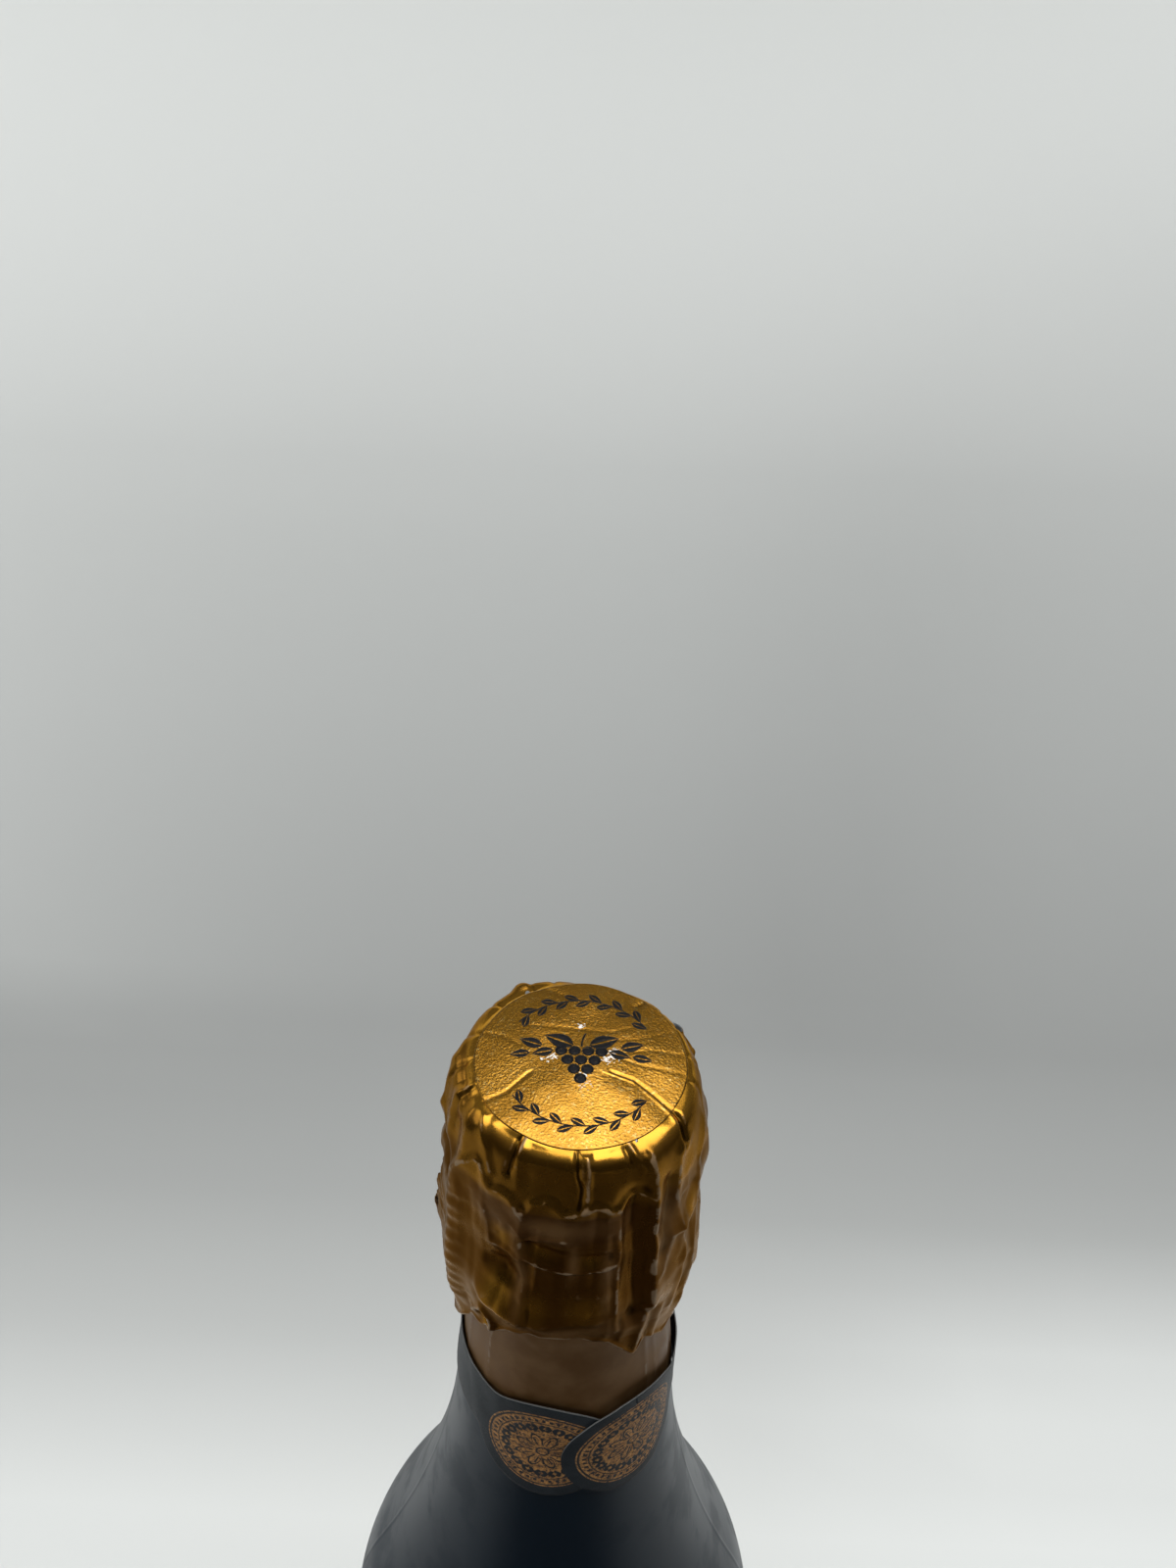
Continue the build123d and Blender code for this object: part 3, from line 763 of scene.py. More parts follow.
capFinish = {
    "lacquer": (0.42, 0.29, 0.10, 1), "lacquerDeep": (0.33, 0.22, 0.07, 1), "coat": 0.4, "coatRough": 0.15,
    "worn": (0.55, 0.55, 0.54, 1), "wornShare": 0.7, "metallic": (0.9, 1.0), "roughness": (0.24, 0.34),
    "grain": 0.01,
}


def buildCapMaterial():
    f = capFinish
    material, tree, shader = newMaterial("lacqueredCap", Coat_Weight=f["coat"],
                                         Coat_Roughness=f["coatRough"])
    wearAndShade = tree.group(foilWearAndShade, Ridge=tree.field("ridge"), Wear=0.8, Grime=0.4, Grain=6.0)
    colour = tree.mix(tree.spread(wearAndShade["Patch"]), f["lacquer"], f["lacquerDeep"])
    tree.feed(shader["Base Color"], tree.mix(tree.times(wearAndShade["Worn"], f["wornShare"]), colour, f["worn"]))
    tree.feed(shader["Metallic"], tree.spread(wearAndShade["Patch"], *f["metallic"]))
    tree.feed(shader["Roughness"], tree.spread(wearAndShade["Patch"], *f["roughness"]))
    tree.feed(shader["Normal"], tree.bump(wearAndShade["Height"], f["grain"]))
    return material


inkFinish = {
    "black": (0.003, 0.003, 0.004, 1), "rubbed": (0.20, 0.12, 0.03, 1),
    "roughness": (0.35, 0.5), "relief": 0.012,
}


def buildInkMaterial():
    f = inkFinish
    material, tree, shader = newMaterial("blackInk", Specular_IOR_Level=0.22)
    worn = tree.noise(tree.place(), 3.5, 5.0, 0.7)
    tree.feed(shader["Base Color"], tree.mix(tree.ramp(worn, 0.60, 0.72), f["black"], f["rubbed"]))
    tree.feed(shader["Roughness"], tree.spread(worn, *f["roughness"]))
    tree.feed(shader["Normal"], tree.bump(worn, f["relief"]))
    return material


crumpledGoldFoil = buildHoodMaterial()
satinGoldDisc = buildDiscMaterial()
matteBrownFoil = buildNeckMaterial()
darkBottleGlass = buildGlassMaterial()
paleWine = buildWineMaterial()
agglomeratedCork = buildCorkMaterial("agglomeratedCork")
naturalCork = buildCorkMaterial("naturalCork")
galvanisedWire = buildWireMaterial()
lacqueredCap = buildCapMaterial()
blackInk = buildInkMaterial()
print("materials ready")


# Glass bottle, turned from its outer and inner outlines

glass = {
    "height": 300.0, "bodyRadius": 44.0, "shoulderStart": 131.0, "shoulderArc": 80.0,
    "neckRadius": 14.3, "neckTaperDeg": 5.7, "ringLow": 285.5, "coneLow": 233.0,
    "wall": 5.1, "base": 7.0, "heel": 8.0, "innerHeel": 4.0, "puntRadius": 31.0, "puntHeight": 30.0,
    "bore": 8.85, "boreDepth": 30.0, "ringRadius": 15.7, "ringTop": 291.0, "ringBevel": 1.2,
    "groove": 13.1, "beadLow": 293.0, "bead": 14.35, "beadRound": 1.5, "mouthRound": 0.8,
    "ringCut": 0.4, "grooveTop": 293.05,
    # mould seams: their rise and half width in mm, and the span in degrees that gets finer columns
    "seamAngles": (-90.0, 90.0), "seamRise": 0.10, "seamWidth": 0.5, "seamSpan": 1.6, "columns": 288,
    "finishStep": 1.5, "step": 3.0,
}


def coneRadius(height):
    # outside of the glass on the straight part of the neck
    return glass["neckRadius"] + (glass["ringLow"] - height) * math.tan(math.radians(glass["neckTaperDeg"]))


def arcLine(center, radius, startDeg, endDeg, count):
    angle = np.radians(np.linspace(startDeg, endDeg, count))
    return list(zip(center[0] + radius * np.cos(angle), center[1] + radius * np.sin(angle)))


def flankLine(offset, count=46):
    # outline of shoulder and neck curve from the cone's foot down to the straight body
    g = glass
    taper = math.radians(g["neckTaperDeg"])
    start = (g["bodyRadius"] - g["shoulderArc"], g["shoulderStart"])
    reach = (coneRadius(g["coneLow"]) - start[0], g["coneLow"] - start[1])
    outward = reach[0] * math.cos(taper) + reach[1] * math.sin(taper)
    arc = (reach[0] ** 2 + reach[1] ** 2 - g["shoulderArc"] ** 2) / (2 * (g["shoulderArc"] - outward))
    neck = (start[0] + reach[0] + arc * math.cos(taper), start[1] + reach[1] + arc * math.sin(taper))
    meet = math.degrees(math.asin((neck[1] - start[1]) / (g["shoulderArc"] + arc)))
    line = arcLine(neck, arc + offset, 180 + g["neckTaperDeg"], 180 + meet, count)
    return line + arcLine(start, g["shoulderArc"] - offset, meet, 0, count)[1:]


def domeLine(edge, rise, low, count=24):
    # from the axis down to the edge
    radius = (edge ** 2 + rise ** 2) / (2 * rise)
    start = math.degrees(math.asin((radius - rise) / radius))
    return arcLine((0, low + rise - radius), radius, 90, start, count)


def filled(line, step):
    # points added along the straight runs of an outline
    result = [line[0]]
    for (r0, z0), (r1, z1) in zip(line, line[1:]):
        parts = max(1, math.ceil(math.hypot(r1 - r0, z1 - z0) / step))
        result += [(r0 + (r1 - r0) * n / parts, z0 + (z1 - z0) * n / parts) for n in range(1, parts + 1)]
    return result


def outerLine():
    # the outside, from the mouth down to the middle of the punt
    g = glass
    flank = flankLine(0)
    high, low = g["ringTop"] - g["ringBevel"], g["ringLow"] + g["ringBevel"]
    cut = g["ringCut"]
    line = arcLine((g["bead"] - g["beadRound"], g["height"] - g["beadRound"]), g["beadRound"], 90, 0, 8)
    line += [(g["bead"], g["beadLow"] + g["beadRound"])]
    line += arcLine((g["bead"] - g["beadRound"], g["beadLow"] + g["beadRound"]), g["beadRound"], 0, -70, 6)
    line += [(g["groove"], g["grooveTop"]), (g["groove"], g["ringTop"])]
    line += [(g["ringRadius"] - cut, high + cut / 2), (g["ringRadius"], high - cut),
             (g["ringRadius"], low + cut), (g["ringRadius"] - cut, low - cut / 2),
             (g["neckRadius"], g["ringLow"])]
    line = filled(line + flank[:1], g["finishStep"]) + flank[1:]
    line = filled(line + [(g["bodyRadius"], g["heel"])], g["step"])
    line += arcLine((g["bodyRadius"] - g["heel"], g["heel"]), g["heel"], 0, -90, 12)[1:]
    return line + domeLine(g["puntRadius"], g["puntHeight"], 0)[::-1]


def innerLine():
    # the inside, from the middle of the floor up to the mouth
    g = glass
    floorEdge = g["bodyRadius"] - g["wall"] - g["innerHeel"]
    line = domeLine(floorEdge, g["puntHeight"], g["base"])
    line += arcLine((floorEdge, g["base"] + g["innerHeel"]), g["innerHeel"], -90, 0, 8)[1:]
    line += flankLine(g["wall"])[::-1]
    line += [(g["bore"], g["height"] - g["boreDepth"]), (g["bore"], g["height"] - g["mouthRound"])]
    mouth = (g["bore"] + g["mouthRound"], g["height"] - g["mouthRound"])
    return filled(line, g["step"]) + arcLine(mouth, g["mouthRound"], 180, 90, 6)[1:]


def buildGlass():
    g = glass
    inner = innerLine()
    line = np.array(inner + outerLine())
    fine = np.linspace(-g["seamSpan"], g["seamSpan"], 17)
    angles = np.unique(np.concatenate([np.arange(g["columns"]) * 360 / g["columns"] - 180]
                                      + [seam + fine for seam in g["seamAngles"]]))
    radius = np.repeat(line[:, :1], len(angles), 1)
    outside = np.arange(len(line))[:, None] >= len(inner)
    onSide = outside & (line[:, 1:] > g["heel"]) & (line[:, 1:] < g["ringLow"])
    for seam in g["seamAngles"]:
        away = np.radians(angles - seam)[None] * radius
        radius = radius + onSide * g["seamRise"] * np.exp(-(away / g["seamWidth"]) ** 2)
    piece = gridPiece("bottleGlass", around(radius, angles[None], line[:, 1:]), darkBottleGlass)
    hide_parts("glass_bottle")
    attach(piece, "bottle")


buildGlass()
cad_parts["wine"].data.materials[0] = paleWine
print("glass and wine ready")


# Foil hood: a turned profile, crumpled by facets and by folds drawn one by one

hood = {
    "top": 319.84, "flat": 15.7, "thickness": 0.25, "girth": 19.8,
    "columns": 620, "rows": 236, "flatRows": 6,
    # how far the skirt's rows reach in over the flat top, and how far out it is kept clear of the cage
    "overlap": 1.0, "skirtStart": 21.0,
    # height and radius below the flat top
    "profile": ((319.6, 16.4), (319.0, 17.1), (318.0, 17.9), (316.5, 18.6), (315.0, 18.9), (311.0, 19.6),
                (306.0, 19.8), (302.0, 19.6), (299.0, 19.8), (294.0, 19.5), (291.0, 19.7), (288.0, 20.0),
                (284.0, 20.3), (278.0, 20.3), (274.0, 20.2), (270.0, 19.9), (266.0, 19.5), (262.0, 19.0),
                (254.0, 18.6)),
    # how far the skirt draws in towards its hem, by angle
    "tuckStart": 288.0, "tuckDepth": 10.0, "tuckMost": 1.3, "tuckCurve": 1.5,
    "tuck": ((-180, 0.8), (-140, 0.6), (-120, 0.0), (-80, 0.0), (-58, 1.0), (0, 1.25), (50, 1.1), (78, 0.3),
             (120, 0.4), (150, 0.9), (180, 0.8)),
    "hem": ((-180, 265.0), (-160, 264.0), (-140, 261.0), (-120, 259.0), (-95, 258.5), (-80, 259.5),
            (-66, 264.0), (-57, 269.0), (-48, 270.1), (-43, 271.6), (-36, 273.4), (-29, 275.2), (-17, 277.8),
            (-8, 278.1), (5, 278.4), (15, 276.4), (23, 273.5), (31, 269.6), (35, 268.2), (39, 270.3),
            (47, 268.6), (57, 265.5), (70, 264.9), (80, 261.0), (95, 258.5), (115, 260.5), (140, 266.0),
            (160, 263.5), (180, 265.0)),
    "raggedHem": 0.35, "hemRoll": 0.28, "hemRollWidth": 0.7, "hemWorn": 0.25,
    # broad swell of the whole side, by angle
    "swell": ((-180, 0.1), (-150, 0.35), (-125, 0.0), (-95, 0.6), (-78, 0.55), (-58, 0.3), (-20, -0.1),
              (20, -0.1), (35, 0.25), (60, -0.1), (80, -0.35), (105, 0.0), (122, 0.3), (150, -0.1),
              (180, 0.1)),
    # how far the rolled shoulder is pressed in, by angle
    "crown": ((-180, 0.5), (-150, -0.5), (-125, -0.3), (-100, 0.6), (-80, 1.0), (-62, 0.5), (-45, 0.0),
              (60, 0.0), (85, 0.3), (110, 0.9), (140, 1.6), (162, 1.2), (180, 0.5)),
    # where swell, crown and relief fade in: along the surface from the middle of the top, or by height;
    # the flat top's own relief fades out from the axis outwards
    "swellAlong": (16.0, 20.0), "crownAlong": (15.6, 18.1), "crownHeight": (305.0, 312.0),
    "reliefAlong": (14.8, 16.3), "topReliefFade": (18.2, 15.8),
    # the cage under the foil: angles of its legs and loop, half a leg's span, least radii over it
    "legs": (32.0, 122.0, -148.0, -58.0, -100.0), "legHalf": 11.0, "legFade": 6.0, "overLeg": 18.25,
    "overCork": 17.2, "twistPrint": 0.11, "twistPitch": 3.1,
    # facets as gap and rise, large and small; the share of them left on the front, and up to which angle
    "facets": ((5.2, 0.62), (2.4, 0.10)), "margin": 3.0, "quiet": 0.60, "quietSides": (55.0, 85.0),
    "softFolds": 2, "softFacets": 9, "softPrints": 4, "ridgeSpan": 5, "ridgeGain": 13.0,
    # torn window beside the wire loop; ragged as rise, waves down, waves round
    "window": {"angles": (-114.2, -86.0), "heights": (283.1, 299.5), "corner": 1.5,
               "ragged": ((0.22, 1.3, 0.3), (0.12, 3.1, -0.7)),
               "lip": 1.0, "lipReach": 2.2, "lipHeight": (298.5, 291.5)},
    # where brown lacquer covers the gold: a field on the front, the skirt, the rolled shoulder, the sides
    "brown": {"frontTop": (311.5, 309.0), "frontFoot": (298.0, 304.0), "frontMiddle": -10.0,
              "frontSides": (50.0, 36.0), "skirtAmount": 0.93, "skirt": (315.0, 308.0),
              "rollAmount": 0.60, "roll": (319.7, 318.6),
              "sidesAmount": 0.60, "sides": (42.0, 67.0), "sidesAlong": (16.0, 19.0)},
    # pockets where the gold shows through: angle, height, half widths in degrees and mm, amount
    "shine": ((-32, 287.0, 6.0, 3.6, 0.92), (-31, 301.5, 3.0, 1.9, 0.50), (-44, 274.5, 3.0, 2.5, 0.85),
              (8, 299.3, 4.0, 1.5, 0.60), (-12, 300.5, 6.0, 1.6, 0.40), (-15, 286.0, 5.0, 3.0, 0.60),
              (6, 286.5, 9.0, 3.0, 0.45),
              (62, 300.0, 4.0, 4.0, 0.40), (58, 281.0, 3.0, 4.0, 0.35), (118, 291.0, 7.0, 5.0, 0.50),
              (170, 286.0, 8.0, 4.0, 0.50), (-140, 292.0, 6.0, 5.0, 0.50), (-96, 276.0, 5.0, 4.0, 0.45)),
    # hazy places of a paler brown, duller and rougher than the foil round them, given the same way
    "haze": ((-4, 306.6, 20.0, 2.6, 0.95), (-34, 306.0, 8.0, 4.0, 0.48), (1, 299.0, 2.8, 5.0, 0.75),
             (-22, 293.0, 2.8, 9.0, 0.75), (16, 294.0, 3.2, 9.0, 0.75), (0, 279.6, 26.0, 2.0, 0.85),
             (44, 300.0, 4.0, 12.0, 0.50), (50, 276.0, 9.0, 4.0, 0.40),
             (150, 303.0, 14.0, 7.0, 0.60), (-120, 300.0, 9.0, 8.0, 0.55), (100, 282.0, 9.0, 7.0, 0.55),
             (-165, 280.0, 12.0, 5.0, 0.60)),
    "seed": 11,
}

# Folds seen on the front: points as (angle, height), width, rise, softness, step
frontFolds = (
    # the rolled shoulder's lower edge, wavy
    (((-60, 307.8), (-54, 310.8), (-46, 313.7), (-43, 313.7), (-37, 310.5), (-32, 311.4), (-27, 311.1),
      (-23, 309.0), (-19, 309.5), (-17, 311.2), (-12, 312.1), (-8, 311.9), (-4, 310.5), (0, 310.7),
      (3, 311.4), (9, 311.8), (13, 311.5), (16, 310.7), (20, 310.7), (23, 312.0), (27, 312.5), (33, 311.1)),
     2.6, 0.62, 0.0, 0.55),
    # hollow over it
    (((-24, 315.2), (-12, 315.6), (0, 315.2), (12, 315.4), (24, 315.6)), 3.2, -0.35, 1.0, 0.0),
    # legs of the cage under the foil
    (((34, 317.5), (35, 313.6), (36, 308.3), (35, 302.5), (37, 294.3), (37, 287.9), (38, 283.0)),
     2.6, 0.75, 0.2, -0.45),
    (((-59, 319.0), (-56, 316.1), (-54, 311.7), (-60, 306.0)), 3.0, 0.55, 0.3, 0.0),
    # valley left of the right leg
    (((26, 312.1), (26, 304.9), (28, 296.3), (29, 289.1), (30, 282.0)), 3.4, -1.25, 0.5, 0.0),
    # upright creases between the legs
    (((20, 309.9), (21, 299.7), (21, 287.8), (22, 279.0)), 1.7, 0.32, 0.0, 0.5),
    (((14, 311.1), (15, 300.5), (17, 285.9), (18, 277.0)), 1.2, 0.16, 0.0, 0.0),
    (((-3, 304.6), (-2, 295.2), (-1, 286.1)), 1.2, 0.14, 0.0, 0.0),
    (((-21, 308.5), (-22, 301.6), (-22, 294.6), (-20, 286.2), (-21, 279.5)), 2.0, 0.42, 0.0, 0.35),
    (((-39, 305.2), (-37, 297.9), (-29, 298.3), (-22, 297.8)), 1.8, 0.38, 0.0, 0.4),
    (((-34, 301.4), (-27, 305.9), (-22, 304.4)), 1.6, 0.26, 0.0, 0.0),
    # level creases over the glass bead
    (((-22, 301.2), (-20, 302.8), (-14, 304.4), (-4, 304.6)), 1.5, 0.30, 0.0, 0.5),
    (((-19, 298.2), (-12, 297.5), (1, 296.9), (12, 297.0), (18, 297.6)), 1.7, 0.54, 0.0, -0.4),
    (((-18, 301.4), (-10, 300.6), (-4, 300.2)), 2.6, -0.70, 1.0, 0.0),
    (((6, 299.6), (10, 299.4), (15, 299.6)), 2.2, -0.62, 1.0, 0.0),
    # facets that catch the light at the lower left
    (((-36, 284.6), (-28, 283.6)), 4.6, 1.50, 0.75, 0.0),
    (((-35, 292.4), (-27, 291.4)), 3.2, -0.60, 1.0, 0.0),
    (((-29, 294.0), (-26, 292.0)), 3.6, -0.50, 1.0, 0.0),
    (((-19, 282.6), (-12, 282.0)), 3.6, 0.85, 0.8, 0.0),
    (((4, 290.4), (12, 290.0)), 2.8, 0.60, 0.8, 0.0),
    (((-8, 289.0), (6, 289.5)), 4.2, -0.50, 1.0, 0.0),
    (((-12, 283.2), (2, 283.6), (12, 283.0)), 2.2, 0.30, 0.4, 0.0),
    # curl and puckers along the hem
    (((-53, 272.6), (-47, 275.6), (-44, 277.2), (-40, 275.4), (-39, 272.8)), 1.6, 0.75, 0.2, 0.0),
    (((-46, 274.0), (-43, 273.4)), 1.5, -0.45, 1.0, 0.0),
    (((36, 283.0), (36, 276.0), (35, 269.0)), 1.7, 0.55, 0.0, 0.3),
    (((41, 281.0), (43, 274.0), (42, 269.5)), 1.4, -0.40, 0.3, 0.0),
    (((47, 279.0), (48, 269.0)), 1.5, 0.30, 0.0, 0.0),
    # folds round the right side
    (((55, 316.2), (49, 315.4), (47, 307.7), (53, 299.0), (59, 290.8), (55, 275.7)), 2.3, 0.55, 0.0, -0.3),
    (((75, 314.5), (65, 309.3), (67, 298.0), (57, 297.9), (48, 297.8), (42, 291.0)), 2.0, 0.45, 0.0, 0.3),
    (((62, 305.0), (57, 301.5), (55, 304.5)), 2.6, -0.45, 0.8, 0.0),
    (((72, 296.0), (66, 288.0), (68, 279.0), (62, 268.0)), 2.2, 0.50, 0.0, 0.0),
    (((60, 286.0), (61, 279.0)), 2.6, -0.45, 0.8, 0.0),
    (((43, 312.0), (42, 303.0), (43, 296.0)), 2.4, -0.50, 0.7, 0.0),
    # pleats and creases that run down from the flat top
    (((-30, 321.0), (-29, 318.2), (-30, 314.6)), 0.9, -0.55, 0.0, 0.0),
    (((-27, 320.4), (-26, 317.0), (-25, 313.6)), 1.6, 0.28, 0.0, 0.0),
    (((0, 320.6), (1, 317.0), (3, 314.6), (2, 311.5)), 0.8, -0.50, 0.0, 0.0),
    (((5, 320.6), (6, 317.6), (6, 314.0), (5, 311.6)), 1.4, 0.34, 0.0, 0.4),
    (((27, 320.8), (28, 318.6), (30, 316.4)), 0.7, 0.30, 0.0, 0.0),
    (((24, 320.4), (25, 318.0)), 0.8, -0.30, 0.0, 0.0),
    (((62, 321.4), (59, 319.8), (55, 317.6), (54, 315.6)), 0.8, -0.60, 0.0, 0.0),
    (((-56, 321.0), (-50, 319.0), (-42, 316.6), (-38, 313.6)), 2.0, 0.45, 0.0, 0.4),
    (((-72, 320.6), (-75, 316.0), (-73, 309.0)), 1.8, 0.40, 0.0, 0.0),
    (((-66, 314.0), (-64, 309.0)), 2.8, -0.50, 0.8, 0.0),
    # hollow over the loop's bulge at the left
    (((-98, 306.5), (-84, 305.5), (-72, 304.0)), 4.0, -1.30, 1.0, 0.0),
)

# Twisted legs that print through with the beat of their twist
legPrints = (
    (((-60, 303.0), (-62, 296.1), (-63, 288.2), (-65, 279.0), (-68, 272.0)), 4.2, 1.15),
    (((122, 317.5), (121, 300.0), (123, 284.0), (121, 276.0)), 2.4, 0.65),
    (((-148, 317.5), (-149, 300.0), (-147, 284.0), (-149, 275.0)), 2.4, 0.65),
)


def hoodLine():
    # the profile as distance over the surface, radius, height; its corners rounded off
    step, width = 0.1, 13
    radii = [0.0, hood["flat"]] + [r for _, r in hood["profile"]]
    heights = [hood["top"], hood["top"]] + [z for z, _ in hood["profile"]]
    along = np.concatenate([[0], np.cumsum(np.hypot(np.diff(radii), np.diff(heights)))])
    line = np.arange(0, along[-1], step)
    soft = []
    for values in (radii, heights):
        dense = np.interp(line, along, values)
        for _ in range(2):
            padded = np.pad(dense, width // 2, "reflect", reflect_type="odd")
            dense = np.convolve(padded, np.ones(width) / width, "valid")
        soft.append(dense)
    return line, soft[0], soft[1]


hoodAlong, hoodRadius, hoodHeight = hoodLine()


def onHood(angleDeg, height):
    # (across, along) of a place; heights over the top count inwards on the flat
    across = math.radians(angleDeg) * hood["girth"]
    if height > hood["top"]:
        return across, hood["flat"] - (height - hood["top"])
    falling = hoodAlong > hood["flat"] - 2
    return across, float(np.interp(-height, -hoodHeight[falling], hoodAlong[falling]))


def backFolds(random):
    # folds for the sides and back that the photograph doesn't show: long ones down the side, short ones
    # across it, and creases over the rim
    folds = []
    for angle in np.arange(84, 276, 11.5):
        start = angle + random.uniform(-3, 3)
        high, low = random.uniform(305, 319), random.uniform(262, 290)
        points = [(start + random.uniform(-5, 5), z) for z in np.linspace(high, low, 5)]
        folds.append((points, random.uniform(1.6, 3.0), random.choice((-0.6, 0.4, 0.6)),
                      random.uniform(0, 0.5), random.uniform(-0.5, 0.5)))
    for _ in range(26):
        angle, height = random.uniform(80, 280), random.uniform(266, 316)
        points = [(angle, height), (angle + random.uniform(6, 16), height + random.uniform(-4, 4)),
                  (angle + random.uniform(16, 26), height + random.uniform(-7, 7))]
        folds.append((points, random.uniform(1.2, 2.2), random.choice((-0.35, 0.3, 0.45)), 0.1,
                      random.uniform(-0.5, 0.5)))
    for angle in np.arange(78, 290, 19):
        start = angle + random.uniform(-5, 5)
        points = [(start, 321.2), (start + random.uniform(-3, 3), 317.5),
                  (start + random.uniform(-4, 4), 312)]
        folds.append((points, 0.9, -0.25, 0.0, 0.0))
    return folds


def pleats(random):
    # fine upright pleats of the skirt, all round
    folds = []
    for angle in np.arange(-176, 180, 8.5):
        start, high = angle + random.uniform(-2.5, 2.5), random.uniform(300, 313)
        low = high - random.uniform(14, 34)
        points = [(start + random.uniform(-1.5, 1.5), z) for z in np.linspace(high, low, 4)]
        folds.append((points, random.uniform(0.8, 1.5), random.choice((-0.14, 0.10, 0.15)), 0.3,
                      random.uniform(-0.6, 0.6)))
    return folds


def softSpots(spots, turn, height):
    # a mask of soft-edged spots, overlapping ones not adding up beyond 1
    clear = np.ones(turn.shape)
    for angle, z, halfTurn, halfHeight, amount in spots:
        away = wrapDeg(turn - angle) / halfTurn
        clear *= 1 - amount * np.exp(-away ** 2 - ((height - z) / halfHeight) ** 2)
    return 1 - clear


def windowEdge(turn, height, along):
    # how far outside the torn window a place is in mm, below zero inside it
    w = hood["window"]
    middle, half = sum(w["angles"]) / 2, (w["angles"][1] - w["angles"][0]) / 2
    centre, tall = sum(w["heights"]) / 2, (w["heights"][1] - w["heights"][0]) / 2
    sideways = (np.abs(turn - middle) - half) * math.radians(1) * hood["girth"]
    upwards = np.abs(height - centre) - tall
    inset = w["corner"]
    corner = np.hypot(np.clip(sideways + inset, 0, None), np.clip(upwards + inset, 0, None)) - inset
    ragged = sum(rise * np.sin(along * down + turn * aside) for rise, down, aside in w["ragged"])
    return np.maximum(corner, np.maximum(sideways, upwards)) + ragged


def hoodBrown(turn, height, along):
    # how far brown lacquer covers the gold, 0 to 1
    b = hood["brown"]
    front = fadeIn(height, *b["frontTop"]) * fadeIn(height, *b["frontFoot"])
    front = front * fadeIn(np.abs(turn - b["frontMiddle"]), *b["frontSides"])
    skirt = b["skirtAmount"] * fadeIn(height, *b["skirt"])
    roll = b["rollAmount"] * fadeIn(height, *b["roll"])
    sides = b["sidesAmount"] * fadeIn(np.abs(turn), *b["sides"]) * fadeIn(along, *b["sidesAlong"])
    return np.max([front, skirt, roll, sides], axis=0) * (1 - softSpots(hood["shine"], turn, height))


